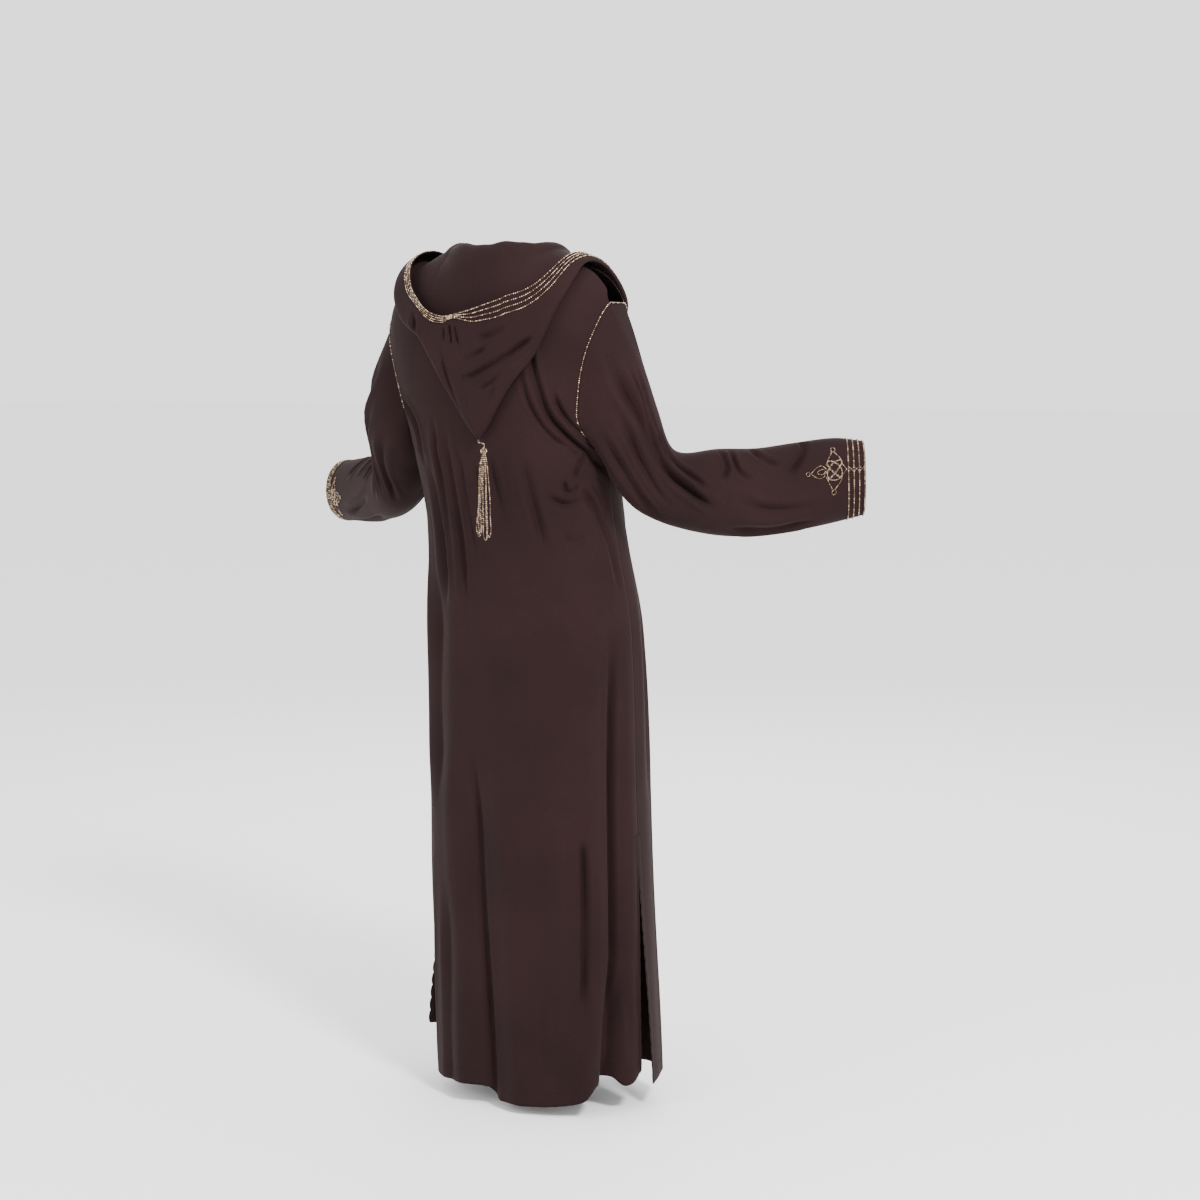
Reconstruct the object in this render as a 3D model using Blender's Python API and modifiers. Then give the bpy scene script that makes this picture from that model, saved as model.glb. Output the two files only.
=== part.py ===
"""Hooded djellaba robe, as worn: sleeves bent at the elbow, hood thrown back.

Metres, +Z up. The origin is the centre of the neck opening at shoulder height, where the
wearer's shoulders carry the robe. The wearer faces -Y: the back is +Y, the wearer's right is -X.

Every cloth piece is a grid of points worked out from a few short tables, made into an open
surface and given its wall by Solidify. Trims follow the points of the cloth they lie on.
"""
import math

import bpy
from mathutils import Vector

# Cloth and trim
WALL = 0.0015              # robe cloth
SEAM_GAP = 0.0003          # clearance between two pieces sewn together
CORD_RADIUS = 0.0012       # gold cord of the braids
BAND_STEP = 0.009          # spacing of the four rows of a braid band
ROWS_IN_BAND = 4

EDGING_WIDTH = 0.007       # scalloped edging of the slits
EDGING_WALL = 0.0010

# Heights of the robe
SHOULDER_END = -0.090      # where the shoulder seam meets the armhole
UNDERARM = -0.325
SLIT_TOP = -0.950
SLIT_DEPTH = 0.45          # height over which the slit opens to its full width
HEM_BACK = -1.390
HEM_FRONT = -1.352
NECK_HALF = 0.075
NECK_BACK = 0.060          # how far the neckline runs back of the shoulder seam
V_NECK = 0.160             # depth of the V at the front
SHOULDER_HALF = 0.215
SHOULDER_ROLL = 0.120      # height over which the shoulder rounds over
ROUNDNESS = 2.2            # exponent of the body's sections: 2 is an ellipse
ARMHOLE_REACH = 0.53       # how far the armhole's edge stands in front of and behind the side
ARMHOLE_SCOOP = 0.065      # height of the rounded bottom of the armhole
ACROSS_LENGTH = 0.26       # half the width of a panel along the cloth

# Grid of the cloth
PANEL_COLUMNS = 24
PANEL_ROWS_LOW = 13
ARMHOLE_ROWS = 10
SLEEVE_ROWS = 14
HOOD_PLACES = [0.09 * i for i in range(6)] + [0.54 + 0.045 * i for i in range(8)] + [0.9, 0.95, 1.0]

# Shoulder seam: distance from the centre, height
SHOULDER = ((0.0, 0.0), (0.075, 0.0), (0.12, -0.018), (0.18, -0.041), (0.207, -0.067), (0.215, -0.09))

# Body sections: height, half width, back y, front y, centre x, centre y
BODY = (
    (-1.40, 0.203, 0.083, -0.215, -0.026, -0.065),
    (-1.23, 0.200, 0.082, -0.212, -0.024, -0.063),
    (-0.90, 0.193, 0.084, -0.202, -0.020, -0.058),
    (-0.61, 0.190, 0.086, -0.185, -0.017, -0.050),
    (-0.48, 0.176, 0.090, -0.163, -0.014, -0.038),
    (-0.40, 0.173, 0.097, -0.155, -0.008, -0.033),
    (-0.32, 0.184, 0.107, -0.150, -0.004, -0.020),
    (-0.21, 0.206, 0.115, -0.128, 0.003, -0.010),
    (-0.12, 0.227, 0.110, -0.105, 0.004, -0.008),
    (0.02, 0.247, 0.108, -0.085, 0.004, -0.005),
)

# Largest folds of a panel, as soft lines: across at the top (-1 right side seam, 1 left), height at
# the top, across at the bottom, height at the bottom, half width, depth (below 0 is a trough)
BACK_FOLDS = (
    (0.13, -0.80, 0.03, -1.40, 0.024, -0.009),
    (-0.57, -0.95, -0.57, -1.28, 0.016, -0.006),
    (-0.80, -0.56, -0.79, -1.16, 0.022, -0.014),
    (-0.79, -1.16, -0.68, -1.42, 0.024, -0.016),
    (0.40, -0.50, 0.46, -0.92, 0.022, -0.006),
    (-0.44, -0.18, -0.62, -0.27, 0.018, -0.005),
    (-0.62, -0.27, -0.92, -0.37, 0.018, -0.007),
    (-0.68, -0.39, -0.86, -0.55, 0.018, -0.006),
    (0.37, -0.40, 0.30, -0.53, 0.022, -0.006),
    (0.20, -0.31, 0.17, -0.47, 0.018, -0.004),
)
FRONT_FOLDS = (
    (-0.45, -0.62, -0.52, -1.38, 0.026, -0.010),
    (-0.08, -0.85, -0.02, -1.38, 0.020, -0.007),
    (0.30, -0.55, 0.38, -1.38, 0.026, -0.012),
    (0.70, -0.80, 0.74, -1.38, 0.020, -0.008),
    (0.60, -0.24, 0.25, -0.46, 0.022, -0.006),
    (-0.62, -0.24, -0.30, -0.42, 0.022, -0.006),
)

# How far the slit edges stand away from the side seam line at the hem, in x and y
SLIT_PULL = {
    ("back", 1): (-0.048, 0.004),
    ("back", -1): (0.006, 0.004),
    ("front", 1): (0.042, 0.000),
    ("front", -1): (-0.012, -0.004),
}

# Way of each arm seen from above: distance along it, x, y
ARM_WAY = {
    "right": ((-0.06, -0.150, 0.026), (0.0, -0.196, -0.010), (0.11, -0.284, -0.065), (0.41, -0.536, -0.229)),
    "left": ((-0.06, 0.160, 0.030), (0.0, 0.206, -0.008), (0.10, 0.272, -0.062), (0.40, 0.532, -0.234)),
}

# Sleeve sections: place, distance along the arm and height of the upper line, the same of the
# lower line, half depth
SLEEVE = {
    "right": (
        (0.00, 0.016, -0.090, -0.020, -0.325, 0.067),
        (0.08, 0.036, -0.140, -0.012, -0.346, 0.064),
        (0.18, 0.058, -0.200, 0.006, -0.380, 0.059),
        (0.29, 0.079, -0.262, 0.041, -0.416, 0.054),
        (0.38, 0.098, -0.315, 0.086, -0.438, 0.053),
        (0.45, 0.121, -0.329, 0.136, -0.452, 0.052),
        (0.56, 0.176, -0.323, 0.191, -0.460, 0.050),
        (0.68, 0.238, -0.322, 0.248, -0.459, 0.048),
        (0.80, 0.300, -0.313, 0.305, -0.451, 0.046),
        (0.92, 0.364, -0.305, 0.366, -0.438, 0.043),
        (1.00, 0.408, -0.309, 0.411, -0.426, 0.041),
    ),
    "left": (
        (0.00, 0.016, -0.090, -0.020, -0.325, 0.067),
        (0.08, 0.042, -0.134, -0.012, -0.350, 0.079),
        (0.18, 0.058, -0.194, 0.006, -0.378, 0.070),
        (0.29, 0.072, -0.258, 0.035, -0.406, 0.057),
        (0.38, 0.090, -0.314, 0.076, -0.434, 0.050),
        (0.45, 0.114, -0.336, 0.122, -0.450, 0.045),
        (0.56, 0.168, -0.341, 0.180, -0.458, 0.043),
        (0.68, 0.228, -0.348, 0.236, -0.464, 0.041),
        (0.80, 0.290, -0.354, 0.294, -0.468, 0.039),
        (0.92, 0.352, -0.360, 0.354, -0.470, 0.037),
        (1.00, 0.402, -0.364, 0.404, -0.470, 0.036),
    ),
}
SLEEVE_CLEARANCE = 0.006   # between the sleeve and the body under the arm

# Hood sections from the centre seam (0) round to the point of the V (1). Each runs from the neck
# seam down the inner layer to the fold, and up the outer layer to the face edge. Columns: place,
# neck x and way, fold x and way, face x and way, inner lift, fold lift, outer lift, face lift.
# A way is the distance over the cloth from the shoulder line, down the back, or down the front if
# below 0. A lift is the distance out from the body.
HOOD = {
    "right": (
        (0.00, 0.000, 0.000, 0.028, 0.374, 0.000, 0.176, 0.006, 0.013, 0.026, 0.030),
        (0.14, 0.018, 0.000, 0.050, 0.346, 0.036, 0.168, 0.007, 0.013, 0.028, 0.030),
        (0.28, 0.035, 0.000, 0.090, 0.278, 0.072, 0.156, 0.008, 0.014, 0.026, 0.026),
        (0.42, 0.052, 0.010, 0.124, 0.218, 0.104, 0.132, 0.008, 0.014, 0.023, 0.022),
        (0.54, 0.066, 0.018, 0.150, 0.145, 0.124, 0.098, 0.007, 0.013, 0.020, 0.018),
        (0.64, 0.074, -0.010, 0.164, 0.078, 0.134, 0.052, 0.007, 0.012, 0.017, 0.015),
        (0.72, 0.075, -0.045, 0.162, -0.010, 0.134, -0.012, 0.007, 0.011, 0.015, 0.014),
        (0.80, 0.068, -0.095, 0.168, -0.124, 0.138, -0.132, 0.008, 0.020, 0.028, 0.029),
        (0.90, 0.042, -0.150, 0.136, -0.172, 0.104, -0.180, 0.007, 0.016, 0.022, 0.020),
        (1.00, 0.012, -0.205, 0.072, -0.226, 0.037, -0.234, 0.006, 0.011, 0.015, 0.014),
    ),
    "left": (
        (0.00, 0.000, 0.000, -0.028, 0.374, 0.000, 0.176, 0.006, 0.013, 0.026, 0.030),
        (0.14, 0.018, 0.000, -0.006, 0.346, 0.030, 0.180, 0.006, 0.013, 0.028, 0.030),
        (0.28, 0.035, 0.000, 0.036, 0.282, 0.060, 0.172, 0.006, 0.013, 0.028, 0.028),
        (0.42, 0.052, 0.010, 0.080, 0.216, 0.088, 0.146, 0.006, 0.014, 0.028, 0.028),
        (0.54, 0.066, 0.018, 0.132, 0.158, 0.108, 0.116, 0.008, 0.016, 0.028, 0.028),
        (0.64, 0.074, -0.010, 0.156, 0.100, 0.128, 0.066, 0.010, 0.021, 0.030, 0.029),
        (0.72, 0.075, -0.045, 0.162, 0.004, 0.134, 0.000, 0.008, 0.017, 0.025, 0.023),
        (0.80, 0.068, -0.095, 0.163, -0.084, 0.130, -0.094, 0.009, 0.016, 0.024, 0.022),
        (0.90, 0.042, -0.150, 0.130, -0.158, 0.096, -0.166, 0.007, 0.014, 0.021, 0.019),
        (1.00, 0.012, -0.205, 0.072, -0.226, 0.037, -0.234, 0.006, 0.011, 0.015, 0.014),
    ),
}
TIP_GAP = 0.0010           # the same clearance at the tip, where the halves meet at an angle
NECK_LIFT = 0.0022         # hood cloth over the neck seam
NECK_ROLL = 0.010          # height of the roll that the hood makes just outside the neck seam

# Tassel at the hood's point
TASSEL_X = -0.050
TASSEL_Y = 0.137
TASSEL_TOP = -0.318
TASSEL_LENGTH = 0.150
TASSEL_HEAD_RADIUS = 0.0055
TASSEL_SKIRT_RADII = (0.006, 0.0145)

AUBERGINE = (0.042, 0.020, 0.021, 1.0)
GOLD = (0.42, 0.27, 0.13, 1.0)


# ---------------------------------------------------------------- curves through the tables

def through(rows, key):
    """Values of a table at key, its first column, on a smooth curve through the rows."""
    last = len(rows) - 1
    at = min(max(key, rows[0][0]), rows[last][0])
    low = max(i for i in range(last) if rows[i][0] <= at)
    step = rows[low + 1][0] - rows[low][0]
    f = (at - rows[low][0]) / step
    before = rows[max(low - 1, 0)]
    after = rows[min(low + 2, last)]
    values = []
    for c in range(1, len(rows[0])):
        a = rows[low][c]
        b = rows[low + 1][c]
        slope_a = (b - before[c]) / (rows[low + 1][0] - before[0])
        slope_b = (after[c] - a) / (after[0] - rows[low][0])
        values.append(
            a * (1 - f) ** 2 * (1 + 2 * f) + b * f ** 2 * (3 - 2 * f)
            + step * f * (1 - f) * (slope_a * (1 - f) - slope_b * f)
        )
    return values


def ease(value):
    """0 to 1 as value goes from 0 to 1, level at both ends."""
    t = min(max(value, 0.0), 1.0)
    return t * t * (3 - 2 * t)


# ---------------------------------------------------------------- the body of the robe

def shoulder_height(x):
    return through(SHOULDER, abs(x))[0]


def body_point(x, z, side):
    """Point of the body at x and height z, on its back (side 1) or its front (side -1)."""
    half, back, front, cx, cy = through(BODY, z)
    depth = back - cy if side > 0 else front - cy
    across = min(abs(x - cx) / half, 1.0)
    full = cy + depth * (1 - across ** ROUNDNESS) ** (1 / ROUNDNESS)
    rise = min(max((shoulder_height(x) - z) / SHOULDER_ROLL, 0.0), 1.0)
    neck = max(1 - (x / NECK_HALF) ** 2, 0.0) * NECK_BACK if side > 0 else 0.0
    return Vector((x, neck + (full - neck) * math.sqrt(1 - (1 - rise) ** 2), z))


def armhole_half_width(z):
    """Distance of the armhole's edge from the middle of the panel, at height z."""
    half = through(BODY, z)[0]
    drop = min(max((UNDERARM + ARMHOLE_SCOOP - z) / ARMHOLE_SCOOP, 0.0), 1.0)
    reach = ARMHOLE_REACH * math.sqrt(1 - drop * drop)
    return half * (1 - reach ** ROUNDNESS) ** (1 / ROUNDNESS)


def panel_point(panel, across, up):
    """Point of a panel: across from -1 to 1, up from 0 at the hem to 1 at the underarm to 2."""
    side = 1 if panel == "back" else -1
    bend = math.sin(across * math.pi / 2)
    if up <= 1:
        rise = (0.042 if across < 0 else 0.014) * abs(across) ** 3
        hem = HEM_BACK + rise if panel == "back" else HEM_FRONT + 0.018 * across
        z = hem + (UNDERARM - hem) * up
        half, _, _, cx, cy = through(BODY, z)
        point = body_point(cx + half * bend, z, side)
        edge = 1 if across > 0 else -1
        pull = SLIT_PULL[(panel, edge)]
        fall = ease((SLIT_TOP - z) / SLIT_DEPTH) * abs(across) ** (3 if panel == "back" else 6)
        point += Vector((pull[0], pull[1], 0.0)) * fall
    else:
        t = up - 1
        z_edge = UNDERARM + (SHOULDER_END - UNDERARM) * t
        half = armhole_half_width(z_edge) * (1 - t ** 6) + SHOULDER_HALF * t ** 6
        x = through(BODY, z_edge)[3] + half * bend
        x_top = SHOULDER_HALF * bend
        top = shoulder_height(x_top)
        if panel == "front" and abs(x_top) < NECK_HALF:
            top = -V_NECK * (1 - abs(x_top) / NECK_HALF)
        z = UNDERARM + (top - UNDERARM) * t
        point = body_point(x, min(z, shoulder_height(x)), side)
    if abs(across) == 1 or up == 2:
        point.y += side * SEAM_GAP * (1.4 if up > 1.9 else 0.7)
    return point


def panel_heights():
    """Values of up for a panel's rows: even below the underarm, closer at both ends above it."""
    low = [i / PANEL_ROWS_LOW for i in range(PANEL_ROWS_LOW)]
    high = [1.5 - 0.5 * math.cos(math.pi * i / ARMHOLE_ROWS) for i in range(ARMHOLE_ROWS + 1)]
    return [1 - (1 - u) ** 1.25 for u in low] + high


def fold_depth(folds, across, z):
    """Depth of all the folds at a place on a panel."""
    total = 0.0
    for across_top, z_top, across_low, z_low, half_width, depth in folds:
        start = Vector((across_top * ACROSS_LENGTH, z_top))
        run = Vector((across_low * ACROSS_LENGTH, z_low)) - start
        place = Vector((across * ACROSS_LENGTH, z)) - start
        f = min(max(place.dot(run) / run.length_squared, 0.0), 1.0)
        away = (place - run * f).length / half_width
        total += depth * math.exp(-away * away)
    return total * (1 - abs(across) ** 8)


def panel_grid(panel):
    """Rows of points of a panel, hem first, with its largest folds."""
    folds = BACK_FOLDS if panel == "back" else FRONT_FOLDS
    columns = [2 * i / PANEL_COLUMNS - 1 for i in range(PANEL_COLUMNS + 1)]
    heights = panel_heights()
    grid = [[panel_point(panel, a, u) for a in columns] for u in heights]
    normals = grid_normals(grid, False)
    for row, directions in zip(grid, normals):
        for i, across in enumerate(columns):
            row[i] = row[i] + directions[i] * fold_depth(folds, across, row[i].z)
    return grid


# ---------------------------------------------------------------- sleeves

def armhole(arm, panels):
    """Edge of an armhole, from the shoulder down the back and up the front, as on the panels,
    and at each point the way in which the cloth runs out of the panel and the way off it."""
    column, hand = (-1, 1.0) if arm == "left" else (0, -1.0)
    sides = []
    for panel in ("back", "front"):
        first = len(panels[panel]) - ARMHOLE_ROWS - 1
        rows = panels[panel][first - 1:]
        normals = grid_normals(panels[panel], False)[first - 1:]
        side = []
        for j in range(1, len(rows)):
            edge = rows[min(j + 1, len(rows) - 1)][column] - rows[j - 1 if j > 1 else j][column]
            run_out = edge.cross(normals[j][column]).normalized()
            sign = run_out.dot(Vector((hand, 1.0 if panel == "front" else -1.0, 0.5)))
            side.append((rows[j][column], run_out if sign > 0 else -run_out, normals[j][column]))
        sides.append(side)
    back, front = sides

    def middle(a, b):
        return ((a[0] + b[0]) / 2, (a[1] + b[1]).normalized(), (a[2] + b[2]).normalized())

    return [middle(back[-1], front[-1])] + back[-2:0:-1] + [middle(back[0], front[0])] + front[1:-1]


def clear_of_body(point, share):
    """Point moved out from the body, if it lies in it or too close to it."""
    half, back, front, cx, cy = through(BODY, point.z)
    depth = back - cy if point.y > cy else cy - front
    dx = point.x - cx
    dy = point.y - cy
    size = (abs(dx / half) ** ROUNDNESS + abs(dy / depth) ** ROUNDNESS) ** (1 / ROUNDNESS)
    wanted = 1 + SLEEVE_CLEARANCE * (0.6 + 0.4 * share) / math.hypot(dx, dy) * size
    if size >= wanted:
        return point
    return Vector((cx + dx * wanted / size, cy + dy * wanted / size, point.z))


def sleeve_ring(arm, place, count):
    """Points round a sleeve at a place from 0 at the armhole to 1 at the cuff."""
    out_top, z_top, out_low, z_low, half_depth = through(SLEEVE[arm], place)
    way = ARM_WAY[arm]
    top = Vector((*through(way, out_top), z_top))
    low = Vector((*through(way, out_low), z_low))
    middle = (out_top + out_low) / 2
    ahead = Vector(through(way, middle + 0.01)) - Vector(through(way, middle - 0.01))
    back = Vector((ahead.y, -ahead.x, 0.0)).normalized()
    if back.y < 0:
        back.negate()
    turned = ease(place / 0.22)
    back = (Vector((0.0, 1.0, 0.0)) * (1 - turned) + back * turned).normalized()
    centre = (top + low) / 2
    turns = [2 * math.pi * i / count for i in range(count)]
    return [centre + (top - centre) * math.cos(t) + back * (half_depth * math.sin(t)) for t in turns]


def sleeve_grid(arm, panels):
    """Rings of a sleeve from the armhole to the cuff; the last two hold the braid band."""
    edge = armhole(arm, panels)
    count = len(edge)
    band = ROWS_IN_BAND * BAND_STEP / 0.46
    start = sleeve_ring(arm, 0.0, count)
    rings = []
    for place in [i / SLEEVE_ROWS * (1 - band) for i in range(1, SLEEVE_ROWS + 1)] + [1.0]:
        loose = ease(place / 0.16)
        ring = []
        for i, point in enumerate(sleeve_ring(arm, place, count)):
            point = point + (edge[i][0] - start[i]) * (1 - loose)
            ring.append(clear_of_body(point, ease(place / 0.12)) if point.z < -0.16 else point)
        rings.append(ring)
    first = []
    for i, (point, run_out, off) in enumerate(edge):
        bend = run_out.dot((rings[0][i] - point).normalized())
        aside = SEAM_GAP * 2 + WALL * 0.75 * (1 - bend)
        first.append(point + run_out * aside + off * (max(-bend, 0.0) * (WALL + SEAM_GAP)))
    return [first] + rings


# ---------------------------------------------------------------- hood

def on_body(x, way):
    """Point of the body at x, a way over the cloth from the shoulder line, and the way out."""
    reach = 0.006
    side = 1 if way >= 0 else -1

    def place(px, distance):
        turn = abs(distance) / SHOULDER_ROLL
        quarter = math.pi / 2
        drop = SHOULDER_ROLL * (1 - math.cos(turn) if turn < quarter else 1 + turn - quarter)
        return body_point(px, shoulder_height(px) - drop, 1 if distance >= 0 else -1)

    here = place(x, way)
    if abs(x) < NECK_HALF:
        along = (place(x, way + side * reach) - here) * side
    else:
        along = place(x, way + reach) - place(x, way - reach)
    across = place(x + reach, way) - place(x - reach, way)
    out = along.cross(across).normalized()
    return here, out if out.dot(Vector((0.0, side, 0.6))) > 0 else -out


def hood_point(half, place, run):
    """Point of a hood half: place from 0 to 1 round the neck, run from 0 at the neck seam to 1
    at the fold and 2 at the face edge."""
    hand = -1 if half == "right" else 1
    (neck_x, neck_way, fold_x, fold_way, face_x, face_way,
     inner, fold, outer, face) = through(HOOD[half], place)
    if run <= 1:
        x = neck_x + (fold_x - neck_x) * run
        way = neck_way + (fold_way - neck_way) * run
        turn = ease((run - 0.75) / 0.25)
        settle = ease(run / 0.12)
        lift = NECK_LIFT + (inner - NECK_LIFT) * settle + (fold - inner) * turn * turn
        lift += NECK_ROLL * math.sin(math.pi * min(run / 0.3, 1.0)) * 0.5
    else:
        f = run - 1
        x = fold_x + (face_x - fold_x) * f
        way = fold_way + (face_way - fold_way) * f
        rise = math.sqrt(1 - (1 - min(f / 0.3, 1.0)) ** 2)
        lift = fold + (outer - fold) * rise + (face - outer) * ease((f - 0.3) / 0.7)
    here, out = on_body(hand * x, way)
    return here + out * lift


def hood_runs(half, place):
    """Values of run for the rows of a hood column. The last four lie under the braid rows."""
    outer = (hood_point(half, place, 2.0) - hood_point(half, place, 1.5)).length * 2
    step = min(BAND_STEP / outer, 0.27)
    band = [2 - step * k for k in range(ROWS_IN_BAND - 1, -1, -1)]
    between = [1.05 + (band[0] - 1.05) * f for f in (0.0, 0.22, 0.48, 0.74)]
    return [0.0, 0.06, 0.14, 0.26, 0.45, 0.68, 0.88, 1.0] + between + band


def hood_grid(half):
    """Columns of points of a hood half, from its centre seam."""
    hand = -1 if half == "right" else 1
    grid = []
    for i, place in enumerate(HOOD_PLACES):
        runs = hood_runs(half, place)
        column = [hood_point(half, place, run) for run in runs]
        if i == 0:
            for run, point in zip(runs, column):
                point.x += hand * (TIP_GAP if 0.8 < run < 1.2 else SEAM_GAP * 0.7)
        grid.append(column)
    return grid


# ---------------------------------------------------------------- from points to objects

def grid_normals(grid, closed):
    """Way out of the surface at each point of a grid."""
    normals = []
    last = len(grid) - 1
    for j, row in enumerate(grid):
        count = len(row)
        out = []
        for i in range(count):
            left = row[(i - 1) % count] if closed else row[max(i - 1, 0)]
            right = row[(i + 1) % count] if closed else row[min(i + 1, count - 1)]
            along = grid[min(j + 1, last)][i] - grid[max(j - 1, 0)][i]
            out.append((right - left).cross(along).normalized())
        normals.append(out)
    middle = sum((p for row in grid for p in row), Vector()) / sum(len(row) for row in grid)
    facing = sum(n.dot(p - middle) for row, ns in zip(grid, normals) for p, n in zip(row, ns))
    if facing < 0:
        normals = [[-n for n in row] for row in normals]
    return normals


def material(name, colour, roughness, metallic):
    """The named Principled material, made when first asked for."""
    made = bpy.data.materials.get(name)
    if made is None:
        made = bpy.data.materials.new(name)
        made.use_nodes = True
        shader = made.node_tree.nodes["Principled BSDF"]
        shader.inputs["Base Color"].default_value = colour
        shader.inputs["Roughness"].default_value = roughness
        shader.inputs["Metallic"].default_value = metallic
    return made


def add(name, data, made):
    """An object of the robe with its material."""
    data.materials.append(made)
    new = bpy.data.objects.new(name, data)
    bpy.data.collections["djellaba"].objects.link(new)
    return new


def cloth(name, grid, closed, wall=WALL):
    """Cloth piece: the grid as an open surface, with its wall."""
    across = len(grid[0])
    middle = (len(grid) - 1) // 2
    facing = grid_normals(grid, closed)[middle][0]
    step = grid[middle][1] - grid[middle][0]
    up = grid[middle + 1][0] - grid[middle][0]
    outward = step.cross(up).dot(facing) > 0
    faces = []
    for j in range(len(grid) - 1):
        for i in range(across if closed else across - 1):
            k = (i + 1) % across
            face = [j * across + i, j * across + k, (j + 1) * across + k, (j + 1) * across + i]
            faces.append(face if outward else face[::-1])
    mesh = bpy.data.meshes.new(name)
    mesh.from_pydata([tuple(p) for row in grid for p in row], [], faces)
    mesh.shade_smooth()
    piece = add(name, mesh, material("aubergine_crepe", AUBERGINE, 0.85, 0.0))
    shell = piece.modifiers.new("wall", "SOLIDIFY")
    shell.thickness = wall
    shell.offset = 0.0
    shell.use_even_offset = False
    return piece


def cord(name, points, closed, radius=CORD_RADIUS):
    """Round cord along points."""
    curve = bpy.data.curves.new(name, "CURVE")
    curve.dimensions = "3D"
    curve.bevel_depth = radius
    curve.bevel_resolution = 0
    curve.use_fill_caps = not closed
    line = curve.splines.new("POLY")
    line.points.add(len(points) - 1)
    for knot, point in zip(line.points, points):
        knot.co = (*point, 1.0)
    line.use_cyclic_u = closed
    return add(name, curve, material("gold_cord", GOLD, 0.35, 0.8))


CORD_LIFT = WALL / 2 + SEAM_GAP + CORD_RADIUS


# ---------------------------------------------------------------- the pieces

def make_panels():
    panels = {"back": panel_grid("back"), "front": panel_grid("front")}
    for panel, grid in panels.items():
        cloth(panel + "_panel", grid, False)
    return panels


def make_slit_edges(panels):
    """Scalloped edging, as a narrow strip of its reach, on the panel along each slit edge."""
    for panel, grid in panels.items():
        normals = grid_normals(grid, False)
        for hand, column, inside in (("right", 0, 1), ("left", -1, -2)):
            near = []
            far = []
            for row, outs in zip(grid, normals):
                if row[column].z < SLIT_TOP - 0.05:
                    lift = outs[column] * (WALL / 2 + 2 * SEAM_GAP + EDGING_WALL / 2)
                    way = (row[inside] - row[column]).normalized()
                    near.append(row[column] + way * 0.0005 + lift)
                    far.append(row[column] + way * EDGING_WIDTH + lift)
            cloth(f"slit_edge_{panel}_{hand}", [near, far], False, EDGING_WALL)


def make_sleeves(panels):
    """Sleeves, with the band of braid round each cuff."""
    sleeves = {}
    for arm in ("right", "left"):
        grid = sleeve_grid(arm, panels)
        sleeves[arm] = grid
        cloth("sleeve_" + arm, grid, True)
        normals = grid_normals(grid, True)
        width = sum((a - b).length for a, b in zip(grid[-1], grid[-2])) / len(grid[-1])
        for row in range(ROWS_IN_BAND):
            f = 1 - (CORD_RADIUS + 0.0005 + row * BAND_STEP) / width
            points = []
            for i in range(len(grid[-1])):
                point = grid[-2][i].lerp(grid[-1][i], f)
                points.append(point + normals[-1][i] * CORD_LIFT)
            cord(f"cuff_braid_{arm}_{row + 1}", points, True)
    return sleeves


def make_armhole_braids(panels, sleeves):
    """One cord over each armhole seam, left open under the arm."""
    for arm, grid in sleeves.items():
        edge = armhole(arm, panels)
        normals = grid_normals(grid, True)[0]
        count = len(edge)
        points = []
        for k in range(-7, 8):
            i = k % count
            out = (edge[i][2] + normals[i]).normalized()
            lift = (CORD_LIFT + 0.0008) / max(out.dot(edge[i][2]), 0.4)
            points.append((edge[i][0] + grid[0][i]) / 2 + out * lift)
        cord("armhole_braid_" + arm, points, False)


def make_hood():
    """Two halves of the hood, and the rows of braid along its face edge."""
    halves = {half: hood_grid(half) for half in ("right", "left")}
    for half, grid in halves.items():
        cloth("hood_" + half, grid, False)
    for row in range(ROWS_IN_BAND):
        points = []
        for half in ("right", "left"):
            grid = halves[half]
            normals = grid_normals(grid, False)
            outward = 1 if normals[0][-1].y > 0 else -1
            side = []
            for i in range(len(grid) - 1):
                side.append(grid[i][-1 - row] + normals[i][-1 - row] * (outward * CORD_LIFT))
            points = side[::-1] if half == "right" else points + side[1:]
        cord(f"hood_braid_{row + 1}", points, False)


def make_tassel():
    """Tassel at the hood's point: its knob, and the fringe as a plain solid of its reach."""
    bpy.ops.mesh.primitive_uv_sphere_add(
        segments=12, ring_count=8, radius=TASSEL_HEAD_RADIUS,
        location=(TASSEL_X, TASSEL_Y, TASSEL_TOP - TASSEL_HEAD_RADIUS))
    head = bpy.context.object
    top = TASSEL_TOP - 2 * TASSEL_HEAD_RADIUS - SEAM_GAP
    length = TASSEL_LENGTH - 2 * TASSEL_HEAD_RADIUS
    bpy.ops.mesh.primitive_cone_add(
        vertices=12, radius1=TASSEL_SKIRT_RADII[1], radius2=TASSEL_SKIRT_RADII[0], depth=length,
        location=(TASSEL_X, TASSEL_Y, top - length / 2))
    skirt = bpy.context.object
    for piece, name in ((head, "tassel_head"), (skirt, "tassel_skirt")):
        piece.name = name
        piece.data.materials.append(material("gold_cord", GOLD, 0.35, 0.8))
        for owner in piece.users_collection:
            owner.objects.unlink(piece)
        bpy.data.collections["djellaba"].objects.link(piece)


for old in list(bpy.data.objects):
    bpy.data.objects.remove(old, do_unlink=True)
robe = bpy.data.collections.new("djellaba")
bpy.context.scene.collection.children.link(robe)

robe_panels = make_panels()
make_slit_edges(robe_panels)
robe_sleeves = make_sleeves(robe_panels)
make_armhole_braids(robe_panels, robe_sleeves)
make_hood()
make_tassel()
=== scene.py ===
"""Djellaba robe as worn: dark aubergine crepe with couched gold cord, its hood thrown back.

Metres, +Z up, the wearer faces -Y. The origin is the middle of the neck opening.
"""
import math

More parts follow.
